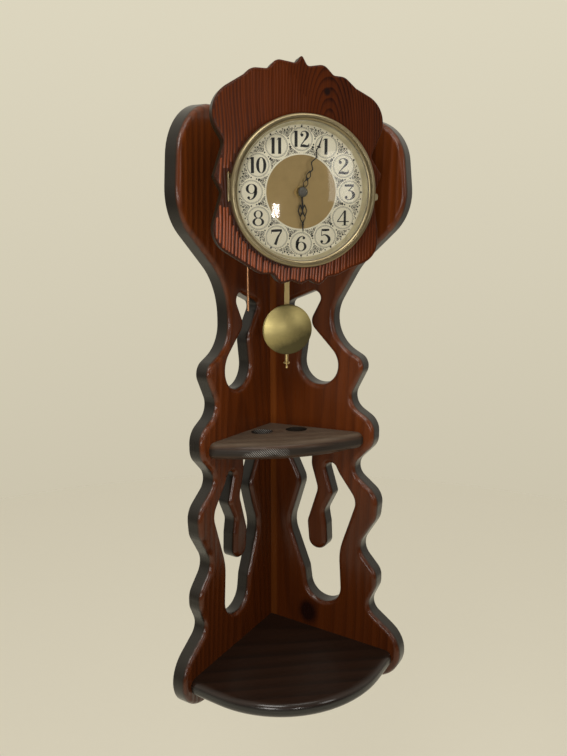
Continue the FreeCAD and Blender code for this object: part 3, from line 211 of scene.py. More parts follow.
class Pine(Shade):
    """Stained pine of a flat-sawn board; along, face and grain are the board's own axes."""

    def __init__(self, name, along, face, grain):
        super().__init__(name)
        place = self.coords()
        self.u, self.w, self.z = [self.vmath("DOT_PRODUCT", place, axis) for axis in (along, face, grain)]
        self.flat = self.join(self.u, self.w, self.z)
        self.wide = self.minus(self.cells(WIDE, 2.0), 0.5)
        self.fibre = self.cells(FIBRE, 3.0, 0.65)
        self.patch = self.cells(PATCH, 3.0)
        self.smoke = self.cells(SMOKE, 4.0)
        self.normal = self.coords("Normal")
        self.turned = self.math("ABSOLUTE", self.vmath("DOT_PRODUCT", self.normal, face))
        self.side = self.ramp(self.vary(self.turned, self.smoke, 0.25), (0.12, 1.0), (0.55, 0.0))

    def cells(self, size, detail, rough=0.55):
        return self.noise(self.vmath("MULTIPLY", self.flat, size), 1.0, detail, rough)

    def rings(self, ring, tilt, pith, straight, knot):
        """Place within a year's growth and a knot's darkness; below straight the rings run upright."""
        wander = self.minus(self.cells(WANDER, 2.0), 0.5)
        sway = self.plus(self.times(wander, WANDER_REACH), self.times(self.wide, WIDE_REACH))
        u = self.plus(self.u, sway)
        spot = None
        if knot:
            u, spot = self.round_knot(u, *knot)
        across = self.minus(u, pith[0])
        lean = self.times(self.math("MAXIMUM", self.z, straight), tilt)
        deep = self.plus(lean, self.plus(self.w, pith[1]))
        far = self.math("SQRT", self.plus(self.times(across, across), self.times(deep, deep)))
        return self.math("FRACT", self.over(far, ring)), spot

    def round_knot(self, u, middle, height, r):
        """Bends the grain round a knot and returns (bent u, darkness)."""
        du = self.minus(u, middle)
        dz = self.times(self.minus(self.z, height), KNOT_STRETCH)
        du2 = self.times(du, du)
        dz2 = self.times(dz, dz)
        far = self.math("SQRT", self.plus(du2, dz2))
        near = self.math("EXPONENT", self.times(self.over(far, r), KNOT_PULL))
        bent = self.plus(u, self.times(self.times(near, du), KNOT_PULL))
        tight = self.math("SQRT", self.plus(du2, self.times(dz2, 3.2)))
        spot = self.minus(1.0, self.math("SMOOTH_MIN", self.over(tight, r), 1.0, 0.3))
        return bent, self.ramp(spot, (0.05, 0.0), (0.5, 1.0))

    def worn(self, across, up, start):
        """0 where the brushed grain is fresh, 1 where it is smooth; across and up are changes per metre."""
        slope = self.plus(self.times(self.u, across), self.times(self.z, up))
        return self.ramp(self.plus(self.vary(slope, self.patch, 0.8), start), (0.0, 0.0), (1.0, 1.0))

    def stain(self, year, tint):
        """How dark the stain took: late wood, fibres, streaks and patches."""
        late = self.ramp(year, (0.0, 0.12), (0.45, 0.2), (0.86, 1.0), (1.0, 0.12))
        amount = self.vary(self.times(late, tint), self.fibre, 0.5)
        amount = self.vary(amount, self.cells(STREAK, 3.0, 0.6), 0.8, 0.42)
        return self.vary(amount, self.patch, 0.7)

    def strip(self, colour, amount, pale, width):
        """A pale strip of sapwood along the corner."""
        near = self.minus(width, self.plus(self.u, self.times(self.wide, WIDE_REACH)))
        band = self.math("MAXIMUM", self.math("SMOOTH_MIN", self.times(near, STRIP_EDGE), 1.0, 0.4), 0.0)
        return self.mix(self.times(band, self.minus(0.95, self.times(amount, 0.5))), colour, pale)

    def deeper(self, colour, top, foot, share):
        """Painted shade, darker from the height top down to foot: the light falling off towards the bottom
        and the shadow under the upper shelf.
        """
        below = self.vary(self.over(self.minus(top, self.z), top - foot), self.patch, 0.8)
        return self.mix(self.ramp(below, (0.0, 0.0), (1.0, share)), colour, PAINTED_SHADE_DARK)

    def rasp(self, start, end):
        """Slanting rasp strokes on the cut side between two places along the grain."""
        slant = self.plus(self.z, self.times(self.w, RASP_SLANT))
        stroke = self.times(self.math("PINGPONG", slant, RASP_PITCH), RASP_FULL)
        off = self.math("ABSOLUTE", self.minus(self.z, 0.5 * (start + end)))
        reach = self.times(self.minus(0.5 * (end - start), off), RASP_FADE)
        here = self.times(self.ramp(reach, (0.0, 0.0), (1.0, 1.0)), self.side)
        here = self.times(here, self.ramp(self.smoke, (0.44, 0.0), (0.60, 1.0)))
        return self.times(self.ramp(stroke, (0.55, 0.0), (0.85, 1.0)), here)

    def lip(self):
        """1 on the cut sides and their rounded edges, 0 on the face."""
        return self.ramp(self.turned, (0.60, 1.0), (0.96, 0.0))

    def dust(self):
        """Dust that has settled on what faces up."""
        upward = self.vmath("DOT_PRODUCT", self.normal, Z_AXIS)
        settle = self.ramp(self.cells(SETTLE, 5.0, 0.7), (0.3, 0.55), (0.75, 1.0))
        return self.times(self.ramp(upward, (0.55, 0.0), (0.95, 1.0)), settle)

    def relief(self, year, strength):
        """Height of the rings and fibres on the face, and of the rough cut sides."""
        ridge = self.math("COSINE", self.times(self.plus(year, 0.2), 2.0 * math.pi))
        ridge = self.times(self.times(ridge, 0.5), strength)
        face = self.times(self.plus(self.times(self.fibre, 0.3), ridge), self.minus(1.0, self.side))
        return self.plus(face, self.times(self.smoke, 0.5))


def pine(name, along, face, light, dark, edge, ring, tilt, pith, grain=Z_AXIS, straight=BELOW_ALL, knot=None,
         contrast=0.62, fade=None, painted_light_scale=1.0, sheen=0.0, strip=None, deeper=None, rasp=None, dust=0.0,
         rough=0.3, spec=0.25, coat=0.25, edge_coat=0.0, bump=0.0004):
    """Rings and stain first, with painted shade towards the bottom and painted sheen and shade in the fresh
    grain, then cut edges, rasp marks with a painted glint, and dust, then gloss and relief.
    """
    s = Pine(name, along, face, grain)
    year, spot = s.rings(ring, tilt, pith, straight, knot)
    tint, strength, gloss = contrast, 1.0, spec
    # Where the grain is fresh, at the lower left, the light colour is scaled: above 1 on the raised ridges
    # this is a painted sheen, below 1 on the face board it is painted shade in the grooves between them.
    if fade:
        worn = s.worn(*fade)
        fresh = s.ramp(worn, (0.0, 1.0), (0.35, 0.0))
        tint = s.times(s.ramp(worn, (0.1, 0.25), (0.7, 0.55)), contrast)
        strength = s.times(s.minus(1.15, worn), 0.3)
        gloss = s.plus(spec, s.times(fresh, sheen))
        light = s.mix(fresh, light, scaled(light, painted_light_scale))
    amount = s.stain(year, tint)
    if fade:
        amount = s.plus(amount, s.times(worn, 0.4))
    colour = s.mix(s.ramp(amount, (0.0, 0.0), (1.0, 1.0)), light, dark)
    if strip:
        colour = s.strip(colour, amount, *strip)
    if knot:
        colour = s.mix(s.times(spot, KNOT_COVER), colour, KNOT)
    # Painted shade: darker towards the bottom.
    if deeper:
        colour = s.deeper(colour, *deeper)
    colour = s.mix(s.side, colour, s.mix(s.smoke, edge, scaled(edge, EDGE_SHADE)))
    height = s.relief(year, strength)
    if rasp:
        cut = s.rasp(*rasp)
        # The strokes' pale colour is a painted glint of light on the rasp marks; their depth is real relief.
        colour = s.mix(s.times(cut, RASP_GLINT_COVER), colour, RASP_GLINT_PALE)
        height = s.plus(height, s.times(cut, RASP_DEPTH))
    if dust:
        colour = s.mix(s.times(s.dust(), dust), colour, DUST)
    if edge_coat:
        coat = s.plus(coat, s.times(s.lip(), edge_coat))
    s.set(
        colour=colour,
        rough=s.vary(s.vary(rough, s.fibre, 0.22), s.patch, 0.2),
        spec=gloss,
        coat=coat,
        coat_rough=s.plus(0.14, s.times(s.side, 0.18)),
    )
    s.bump(height, bump)
    return s.mat


def metal(name, colour, rough, lines=(300.0, 300.0, 300.0), bump=0.00002, tarnish=(0.10, 0.075, 0.03),
          amount=0.4, around=None, painted_shade_side=None):
    """Worked metal: brush lines along an axis or round a centre, tarnish in patches, and over one side the
    tarnish colour as painted shade.
    """
    s = Shade(name)
    place = s.coords()
    if around:
        off = s.vmath("SUBTRACT", place, around)
        across = s.split(off)
        turn = s.math("ARCTAN2", across[0], across[2])
        lined = s.join(s.times(s.vmath("LENGTH", off), lines[0]), s.times(turn, lines[1]), 0.0)
    else:
        lined = s.vmath("MULTIPLY", place, lines)
    brush = s.noise(lined, 1.0, 4.0, 0.6)
    blotch = s.noise(place, 55.0, 4.0, 0.6)
    cover = s.times(s.ramp(blotch, (0.42, 0.0), (0.72, 1.0)), amount)
    # Painted shade: the tarnish colour spreads over one side, away from the light.
    if painted_shade_side:
        start, way, reach = painted_shade_side
        along = s.over(s.vmath("DOT_PRODUCT", s.vmath("SUBTRACT", place, start), way), reach)
        cover = s.math("MAXIMUM", cover, s.ramp(s.vary(along, blotch, 0.7), (0.0, 0.12), (0.6, 0.9)))
    tone = s.mix(s.times(brush, 0.35), colour, scaled(colour, 0.7))
    dull = s.plus(s.times(s.minus(brush, 0.5), 0.18), s.times(cover, 0.2))
    s.set(colour=s.mix(cover, tone, tarnish), metal=1.0, rough=s.plus(rough, dull))
    s.bump(brush, bump)
    return s.mat


def coated(name, colour, rough, speck=400.0, bump=0.00002, vary=0.25):
    """Painted, printed or moulded surface with a fine texture."""
    s = Shade(name)
    place = s.coords()
    fine = s.noise(place, speck, 3.0)
    broad = s.noise(place, 35.0, 3.0)
    s.set(
        colour=s.mix(s.times(broad, vary), colour, scaled(colour, 0.72)),
        rough=s.vary(rough, fine, 0.2),
    )
    s.bump(fine, bump)
    return s.mat


GLASS_TINT = (0.985, 0.99, 0.985)
GLASS_IOR = 1.45
GLASS_MIRROR = 0.7
GLASS_ROUGH = 0.04
GLASS_HAZE = 0.02


def clear_glass(name):
    """Thin clear pane that mirrors more at a glancing view."""
    s = Shade(name)
    through = s.add("ShaderNodeBsdfTransparent")
    s.put(through.inputs[0], GLASS_TINT)
    shine = s.add("ShaderNodeBsdfGlossy")
    haze = s.noise(s.coords(), 60.0, 3.0)
    s.put(shine.inputs["Roughness"], s.plus(GLASS_ROUGH, s.times(haze, GLASS_HAZE)))
    view = s.add("ShaderNodeFresnel")
    s.put(view.inputs["IOR"], GLASS_IOR)
    both = s.add("ShaderNodeMixShader")
    s.put(both.inputs[0], s.times(view.outputs[0], GLASS_MIRROR))
    s.put(both.inputs[1], through.outputs[0])
    s.put(both.inputs[2], shine.outputs[0])
    s.put(s.out.inputs["Surface"], both.outputs[0])
    s.tree.nodes.remove(s.bsdf)
    return s.mat


# Materials: the boards and the glass keeper by node, everything else by its slot in the record
RED_LIGHT = (0.140, 0.031, 0.0045)
RED_DARK = (0.028, 0.0054, 0.0014)
CHAR = (0.013, 0.0092, 0.0056)
# What boards of one kind share
# The panels grow darker towards the bottom: painted shade.
PANEL = {"contrast": 0.35, "coat": 0.14, "edge_coat": 0.3, "deeper": (-0.33, -0.46, 0.5)}
BOARD = {
    "along": X_AXIS, "face": FRONT, "ring": 0.0030, "tilt": 0.30, "pith": (0.030, -0.176),
    "straight": 0.012, "rough": 0.36, "coat": 0.05,
}
SHELF = {"along": Y_AXIS, "face": Z_AXIS, "grain": X_AXIS}
# Brush lines of a turned ring: per metre of radius and per radian
TURNED = (2500.0, 3.0)
paint = {
    "left_panel": pine(
        "left_pine", FRONT_LEFT, FRONT_RIGHT, RED_LIGHT, RED_DARK, CHAR,
        ring=0.0075, tilt=0.05, pith=(0.085, 0.055), **PANEL,
    ),
    "right_panel": pine(
        "right_pine", FRONT_RIGHT, FRONT_LEFT, RED_LIGHT, RED_DARK, CHAR,
        ring=0.0085, tilt=-0.04, pith=(0.070, 0.048), knot=(0.079, -0.599, 0.018),
        strip=((0.22, 0.060, 0.0095), 0.0295), **PANEL,
    ),
    # The face board is darker at the lower left between its ridges: painted shade.
    "face_board": pine(
        "board_pine", light=(0.106, 0.0213, 0.0032), dark=(0.012, 0.0024, 0.0008), edge=(0.040, 0.034, 0.022),
        knot=(0.028, 0.045, 0.004), contrast=0.9, fade=(5.0, 2.0, 0.40), painted_light_scale=0.45, sheen=0.15, spec=0.06,
        bump=0.0006, **BOARD,
    ),
    "upper_shelf": pine(
        "upper_pine", light=(0.070, 0.036, 0.020), dark=(0.022, 0.012, 0.008), edge=(0.036, 0.027, 0.021),
        ring=0.006, tilt=0.05, pith=(0.02, 0.03), rasp=(-0.060, -0.004), dust=0.65, rough=0.45, spec=0.15,
        coat=0.03, edge_coat=0.15, **SHELF,
    ),
    "lower_shelf": pine(
        "lower_pine", light=(0.017, 0.0062, 0.003), dark=(0.006, 0.0026, 0.0016), edge=(0.012, 0.0115, 0.010),
        ring=0.007, tilt=0.04, pith=(0.03, 0.04), dust=0.02, rough=0.5, spec=0.10, coat=0.02, edge_coat=1.0,
        **SHELF,
    ),
    # A paler copy of the bezel brass for the keeper's cone: painted reflection of the bright dial.
    "glass_keeper": metal("brass_painted_bright", (0.94, 0.88, 0.69), 0.5, TURNED, around=DIAL, amount=0.15),
}
# The ridges are lighter at the lower left: painted sheen.
brushed_pine = pine(
    "brushed_pine", light=(0.124, 0.0255, 0.0042), dark=(0.036, 0.0072, 0.0015), edge=(0.040, 0.022, 0.012),
    contrast=0.2, fade=(3.5, 4.0, 0.55), painted_light_scale=2.4, sheen=0.45, spec=0.10, bump=0.0002, **BOARD,
)
slots = {
    "raw_wood": pine(
        "raw_pine", X_AXIS, FRONT, (0.50, 0.33, 0.18), (0.30, 0.17, 0.08), (0.36, 0.23, 0.12),
        ring=0.004, tilt=0.05, pith=(0.02, 0.05), rough=0.6, coat=0.0,
    ),
    "screw_steel": metal("zinc_steel", (0.52, 0.52, 0.53), 0.34, amount=0.15, tarnish=(0.25, 0.22, 0.18)),
    "bezel_brass": metal("antique_brass", (0.31, 0.255, 0.15), 0.32, TURNED, around=DIAL, amount=0.15),
    "brass_fittings": metal("turned_brass", (0.66, 0.49, 0.21), 0.28, (900.0, 900.0, 900.0), amount=0.2),
    "dial_glass": clear_glass("domed_glass"),
    "gold_dial": metal(
        "brushed_gold", (0.55, 0.39, 0.18), 0.36, (40.0, 90.0), around=DIAL, amount=0.15, bump=0.00001,
    ),
    "cream_dial": coated("cream_enamel", (0.93, 0.87, 0.70), 0.42, vary=0.08),
    "hand_black": coated("black_lacquer", (0.012, 0.012, 0.012), 0.35),
    "nut_grey": coated("dark_grey_paint", (0.095, 0.088, 0.074), 0.42),
    "case_plastic": coated("black_moulding", (0.018, 0.018, 0.018), 0.55, 900.0, 0.00004),
    "gear_plastic": coated("ivory_moulding", (0.70, 0.66, 0.55), 0.4, 700.0),
    "circuit_green": coated("green_laminate", (0.02, 0.12, 0.045), 0.45),
    "cell_jacket": coated("cell_jacket", (0.05, 0.06, 0.08), 0.3),
    "spring_plate": metal("nickel_plate", (0.62, 0.61, 0.58), 0.22, amount=0.1),
    "coil_copper": metal(
        "wound_copper", (0.55, 0.22, 0.09), 0.4, (4000.0, 1.0), around=COIL, bump=0.0001,
    ),
    "block_iron": coated("cast_black", (0.02, 0.02, 0.02), 0.6, 500.0, 0.0002),
    "rod_copper": metal("copper_rod", (0.60, 0.30, 0.15), 0.3, (900.0, 900.0, 40.0), amount=0.3),
    "strip_brass": metal("rolled_brass", (0.74, 0.56, 0.25), 0.3, (900.0, 900.0, 30.0), amount=0.08),
    # The bob's lower right is painted darker: painted shade.
    "bob_brass": metal(
        "brushed_bob", (0.54, 0.45, 0.19), 0.38, (20.0, 200.0, 900.0), bump=0.00003,
        tarnish=(0.085, 0.075, 0.038), amount=0.35, painted_shade_side=(BOB, (0.45, 0.0, -0.89), BOB_R),
    ),
    "hammer_brass": metal("hammer_brass", (0.66, 0.50, 0.22), 0.3, amount=0.25),
}
for part in frame["record"]["subparts"]:
    node = nodes[part["node"]]
    node.data.materials.clear()
    node.data.materials.append(paint.get(part["node"]) or slots[part["material_slot"]])


def frame_piece(name, verts, faces, material):
    """Adds a piece that stays with the frame and returns its mesh."""
    mesh = bpy.data.meshes.new(name)
    mesh.from_pydata(verts, [], faces)
    mesh.update()
    obj = bpy.data.objects.new(name, mesh)
    bpy.context.scene.collection.objects.link(obj)
    mesh.materials.append(material)
    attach(obj, "frame")
    return mesh


# Flat printed work on the dial, drawn in millimetres from the dial centre
HOUR_TURN = 30
MINUTE_TURN = 6
HOUR_R = 52.2
FIGURE_H = 15.7
ONE_FIGURE_WIDE = 1.42
TWO_FIGURES_WIDE = 1.2
BOLD = 1.2
CIRCLES = ((11.6, 11.25), (10.7, 10.5))
BEADS_R = (54.4, 48.6)
BEAD = 0.8
DOT_SIDES = 10
CIRCLE_SIDES = 64
STEMS = (((55.6, 0.4), (58.8, 0.7), (62.4, 0.3)), ((47.4, 0.4), (44.6, 0.7), (39.0, 0.3)))
TRACK_R = 64.6
MINUTE_DOT = 0.72
DIAMOND = 1.45
DIAMOND_SIDES = 4
DIAMOND_SLIM = 0.8
CURL_LINE = 0.58
CURL_TURNS = 1.4
CURL_STEPS = 14
CURL_IN = 0.8
CURL_THIN = 0.45
CURL_DOT = 0.9
LEAF_LEAN = 32
LEAF_SLIM = 0.5
PRINT_OUT = 175.8


class Print:
    """Thin raised print on the chapter ring: strips, rings and discs, kept as closed prisms."""

    def __init__(self, thick):
        self.verts = []
        self.faces = []
        self.thick = thick * MM

    def point(self, x, z, front):
        y = -PRINT_OUT * MM - (self.thick if front else 0.0)
        self.verts.append((x * MM, y, DIAL[2] + z * MM))
        return len(self.verts) - 1

    def strip(self, left, right, closed=False):
        rows = []
        for a, b in zip(left, right):
            rows.append([
                self.point(*a, True), self.point(*b, True), self.point(*b, False), self.point(*a, False),
            ])
        count = len(rows)
        for i in range(count if closed else count - 1):
            one, two = rows[i], rows[(i + 1) % count]
            for k in range(4):
                n = (k + 1) % 4
                self.faces.append((one[k], one[n], two[n], two[k]))
        if not closed:
            self.faces.append(tuple(reversed(rows[0])))
            self.faces.append(tuple(rows[-1]))

    def ring(self, x, z, rx, rz, inner_x, inner_z, steps=48):
        angles = [2 * math.pi * i / steps for i in range(steps)]
        outer = [(x + rx * math.cos(a), z + rz * math.sin(a)) for a in angles]
        inner = [(x + inner_x * math.cos(a), z + inner_z * math.sin(a)) for a in angles]
        self.strip(inner, outer, True)

    def disc(self, x, z, r, steps=16, squeeze=1.0, spin=0.0):
        front, back = [], []
        for i in range(steps):
            a = 2 * math.pi * i / steps
            dx, dz = r * squeeze * math.cos(a), r * math.sin(a)
            px = x + dx * math.cos(spin) + dz * math.sin(spin)
            pz = z - dx * math.sin(spin) + dz * math.cos(spin)
            front.append(self.point(px, pz, True))
            back.append(self.point(px, pz, False))
        self.faces.append(tuple(front))
        self.faces.append(tuple(reversed(back)))
        for i in range(steps):
            j = (i + 1) % steps
            self.faces.append((front[j], front[i], back[i], back[j]))

    def stroke(self, points, steps=6):
        """Pen stroke along a smooth curve through (x, z, width) points."""
        path = []
        count = len(points)
        for i in range(count - 1):
            a, b, c, d = points[max(i - 1, 0)], points[i], points[i + 1], points[min(i + 2, count - 1)]
            for k in range(steps):
                t = k / steps
                path.append([
                    0.5 * (2 * b[j] + (c[j] - a[j]) * t + (2 * a[j] - 5 * b[j] + 4 * c[j] - d[j]) * t * t
                           + (3 * b[j] - a[j] - 3 * c[j] + d[j]) * t ** 3)
                    for j in range(3)
                ])
        path.append(list(points[-1]))
        left, right = [], []
        for i, (x, z, w) in enumerate(path):
            ahead, behind = path[min(i + 1, len(path) - 1)], path[max(i - 1, 0)]
            dx, dz = ahead[0] - behind[0], ahead[1] - behind[1]
            size = math.hypot(dx, dz) or 1.0
            nx, nz = -dz / size * w / 2, dx / size * w / 2
            left.append((x + nx, z + nz))
            right.append((x - nx, z - nz))
        self.strip(left, right)

    def piece(self, name, slot):
        frame_piece(name, self.verts, self.faces, slots[slot])


def shape(strokes=(), rings=(), balls=()):
    """A figure in a box one high: strokes (x, z, width), rings (x, z, outer, inner), balls (x, z, r)."""
    return {"strokes": strokes, "rings": rings, "balls": balls}


# Figures with thick stems and thin hairlines; a nine is a six turned over
FIGURE_W = 0.60
ONE_W = 0.36
BOWL = [(0.49, 0.24, 0.16), (0.34, 0.03, 0.05), (0.17, 0.03, 0.04), (0.09, 0.14, 0.03)]
BOWL_BALL = (0.135, 0.17, 0.08)
SIX_BACK = [
    (0.105, 0.33, 0.14), (0.115, 0.60, 0.16), (0.21, 0.87, 0.09), (0.36, 0.98, 0.035), (0.46, 0.90, 0.05),
]
TWO_NECK = [
    (0.06, 0.76, 0.04), (0.12, 0.91, 0.04), (0.29, 0.98, 0.05), (0.44, 0.84, 0.15), (0.42, 0.64, 0.14),
    (0.24, 0.36, 0.06), (0.07, 0.10, 0.05),
]
TWO_FOOT = [
    (0.05, 0.03, 0.05), (0.20, 0.085, 0.14), (0.38, 0.055, 0.13), (0.50, 0.09, 0.09), (0.535, 0.23, 0.03),
]
FIGURES = {
    "0": shape(rings=[(0.29, 0.5, 0.28, 0.5, 0.115, 0.465)]),
    "1": shape([
        [(0.17, 0.0, 0.17), (0.17, 1.0, 0.17)],
        [(0.02, 0.86, 0.03), (0.12, 0.985, 0.04)],
    ]),
    "2": shape([TWO_NECK, TWO_FOOT], balls=[(0.135, 0.745, 0.085)]),
    "3": shape([
        [(0.05, 0.93, 0.11), (0.28, 0.935, 0.13), (0.50, 0.94, 0.11)],
        [(0.48, 0.93, 0.06), (0.25, 0.60, 0.045)],
        [(0.22, 0.60, 0.035), (0.38, 0.57, 0.06), (0.48, 0.42, 0.15)] + BOWL,
    ], balls=[BOWL_BALL]),
    "4": shape([
        [(0.39, 0.97, 0.05), (0.03, 0.26, 0.05)],
        [(0.02, 0.255, 0.05), (0.60, 0.255, 0.05)],
        [(0.40, 0.0, 0.13), (0.40, 0.98, 0.13)],
        [(0.27, 0.015, 0.03), (0.54, 0.015, 0.03)],
    ]),
    "5": shape([
        [(0.12, 0.93, 0.10), (0.30, 0.925, 0.13), (0.50, 0.94, 0.10)],
        [(0.14, 0.92, 0.035), (0.12, 0.55, 0.035)],
        [(0.12, 0.55, 0.035), (0.28, 0.62, 0.06), (0.46, 0.47, 0.14)] + BOWL,
    ], balls=[BOWL_BALL]),
    "6": shape([SIX_BACK], [(0.30, 0.31, 0.265, 0.31, 0.115, 0.275)], [(0.435, 0.87, 0.075)]),
    "7": shape([
        [(0.04, 0.90, 0.12), (0.28, 0.92, 0.14), (0.55, 0.93, 0.12)],
        [(0.05, 0.94, 0.03), (0.045, 0.72, 0.03)],
        [(0.54, 0.90, 0.06), (0.36, 0.50, 0.11), (0.23, 0.0, 0.16)],
    ]),
    "8": shape(rings=[
        (0.29, 0.745, 0.215, 0.255, 0.105, 0.22),
        (0.29, 0.265, 0.275, 0.265, 0.13, 0.23),
    ]),
}


def figure_width(c):
    return ONE_W if c == "1" else FIGURE_W


def figure(printed, text, x, z, size, wide):
    """Centres the figures of one hour on (x, z), widened and with heavier stems."""
    across = size * wide
    left = -sum(figure_width(c) for c in text) / 2
    for c in text:
        turned = c == "9"
        drawn = FIGURES["6" if turned else c]

        def at(u, v):
            if turned:
                u, v = FIGURE_W - u, 1.0 - v
            return x + (left + u) * across, z + (v - 0.5) * size

        for u, v, rx, rz, ix, iz in drawn["rings"]:
            stem = (rx - ix) * size * BOLD
            printed.ring(*at(u, v), rx * across, rz * size, rx * across - stem, iz * size)
        for line in drawn["strokes"]:
            printed.stroke([at(u, v) + (w * size * BOLD,) for u, v, w in line])
        for u, v, r in drawn["balls"]:
            printed.disc(*at(u, v), r * size * BOLD)
        left += figure_width(c)


def clock_point(r, degrees):
    a = math.radians(degrees)
    return r * math.sin(a), r * math.cos(a)


def curl(printed, degrees, r, size, turn, start):
    """A curl that winds in from its stem and ends in a dot; degrees and r give its centre on the dial."""
    cx, cz = clock_point(r, degrees)
    line = []
    for i in range(CURL_STEPS + 1):
        f = i / CURL_STEPS
        a = math.radians(degrees + start) + turn * 2 * math.pi * CURL_TURNS * f
        reach = size * (1 - CURL_IN * f)
        line.append((cx + reach * math.sin(a), cz + reach * math.cos(a), CURL_LINE * (1 - CURL_THIN * f)))
    printed.stroke(line, 3)
    printed.disc(line[-1][0], line[-1][1], CURL_LINE * CURL_DOT, 8)


# Ornament on both sides of the line between two hours: radius and degrees off that line, then a curl's size,
# turn and start, or a leaf's size
CURLS = (
    (60.1, 2.5, 2.2, 1, 180), (62.1, 5.4, 1.6, -1, 90), (62.9, 1.2, 1.0, 1, 0),
    (42.3, 2.3, 1.9, -1, 0), (40.1, 5.4, 1.5, 1, 90), (45.9, 0.9, 0.9, 1, 180),
)
LEAVES = (
    (57.0, 1.1, 0.9), (60.6, 5.0, 0.7), (62.8, 3.4, 0.7), (63.0, 8.2, 0.7), (63.2, 10.6, 0.5),
    (44.2, 1.2, 0.7), (39.2, 2.0, 0.8), (41.6, 5.2, 0.6), (38.8, 8.4, 0.7), (38.6, 11.2, 0.5),
)
numerals = Print(0.06)
circles = Print(0.04)
scrolls = Print(0.03)
track = Print(0.05)
for hour in range(1, 13):
    x, z = clock_point(HOUR_R, HOUR_TURN * hour)
    figure(numerals, str(hour), x, z, FIGURE_H, ONE_FIGURE_WIDE if hour < 10 else TWO_FIGURES_WIDE)
    for outer, inner in CIRCLES:
        circles.ring(x, z, outer, outer, inner, inner, CIRCLE_SIDES)
    middle = HOUR_TURN * (hour + 0.5)
    for side in (-1, 1):
        for r, off, size, turn, start in CURLS:
            curl(scrolls, middle + side * off, r, size, side * turn, side * start)
        for r, off, leaf in LEAVES:
            spin = math.radians(middle + side * (off + LEAF_LEAN))
            scrolls.disc(*clock_point(r, middle + side * off), leaf, DOT_SIDES, LEAF_SLIM, spin)
    for r in BEADS_R:
        scrolls.disc(*clock_point(r, middle), BEAD, DOT_SIDES)
    for stem in STEMS:
        scrolls.stroke([clock_point(r, middle) + (w,) for r, w in stem], 4)
for minute in range(60):
    px, pz = clock_point(TRACK_R, MINUTE_TURN * minute)
    if minute % 5:
        track.disc(px, pz, MINUTE_DOT, DOT_SIDES)
    else:
        track.disc(px, pz, DIAMOND, DIAMOND_SIDES, DIAMOND_SLIM, math.radians(MINUTE_TURN * minute))
numerals.piece("dial_numerals", "hand_black")
circles.piece("numeral_circles", "nut_grey")
scrolls.piece("dial_scrolls", "hand_black")
track.piece("minute_track", "hand_black")

# Raised grain of the face board in metres, highest at the lower left where the soft wood is worn away;
# a wave is its height, length, phase and phase per line, a profile point its place and height
GRAIN_SEED = 11
GRAIN_JITTER = 0.16
GRAIN_STRONG = (0.7, 1.0)
GRAIN_FADE = (5.0, 3.0, 0.55)
GRAIN_LINES = 72
GRAIN_STATIONS = 124
GRAIN_LEFT = -0.140
GRAIN_FOOT = -0.152
GRAIN_PITCH = 0.0033
GRAIN_STEP = 0.002
GRAIN_HIGH = 0.0005
GRAIN_LOWEST = 0.12
GRAIN_WIDE = 0.73
GRAIN_NARROW = 0.45
GRAIN_FULL = 1.1
GRAIN_FALL = 1.4
GRAIN_END = 0.06
GRAIN_TAPER = 0.47
GRAIN_SINK = 0.00003
GRAIN_DRAPE = 0.0012
GRAIN_SHORTEST = 6
GRAIN_SHARP = math.radians(60.0)
GRAIN_WAVES = ((0.0016, 0.034, 0.7, 0.05), (0.0007, 0.0135, 0.0, 0.09))
PROFILE = ((-0.5, 0.0), (-0.33, 0.7), (0.0, 1.0), (0.33, 0.7), (0.5, 0.0))
BEZEL_CLEAR_R = 0.0769
HINGE_X = (-0.0803, -0.07)
HINGE_UP = 0.005
HINGE_HALF = 0.018
RAY_Y = -0.3


def board_front(board):
    """A function for the y of the board's front; None off the board, under the bezel or at its hinge."""
    place = board.matrix_world
    skin = BVHTree.FromPolygons(
        [place @ v.co for v in board.data.vertices], [tuple(p.vertices) for p in board.data.polygons]
    )

    def front(x, z):
        up = z - DIAL[2]
        at_hinge = HINGE_X[0] < x < HINGE_X[1] and abs(up - HINGE_UP) < HINGE_HALF
        if at_hinge or math.hypot(x, up) < BEZEL_CLEAR_R:
            return None
        hit = skin.ray_cast((x, RAY_Y, z), Y_AXIS)[0]
        return hit.y if hit is not None and hit.y < BOARD_Y + GRAIN_DRAPE else None

    return front


def grain_runs(front):
    """Yields each unbroken stretch of a ridge as a list of (points on the board, z, height share)."""
    draw = random.Random(GRAIN_SEED)
    for k in range(GRAIN_LINES):
        start = GRAIN_LEFT + GRAIN_PITCH * (k + draw.uniform(-GRAIN_JITTER, GRAIN_JITTER))
        strong = draw.uniform(*GRAIN_STRONG)
        run = []
        for i in range(GRAIN_STATIONS):
            z = GRAIN_FOOT + GRAIN_STEP * i
            x = start
            for tall, length, phase, shift in GRAIN_WAVES:
                x += tall * math.sin(z / length + phase + shift * k)
            worn = GRAIN_FADE[0] * x + GRAIN_FADE[1] * z + GRAIN_FADE[2]
            rise = strong * min(1.0, GRAIN_FULL - worn * GRAIN_FALL)
            wide = GRAIN_PITCH * GRAIN_WIDE * min(1.0, GRAIN_NARROW + (1.0 - GRAIN_NARROW) * rise)
            places = [x + off * wide for off, _ in PROFILE]
            points = [(px, front(px, z)) for px in places]
            if rise > GRAIN_LOWEST and all(y is not None for _, y in points):
                run.append((points, z, rise))
            else:
                yield run
                run = []
        yield run


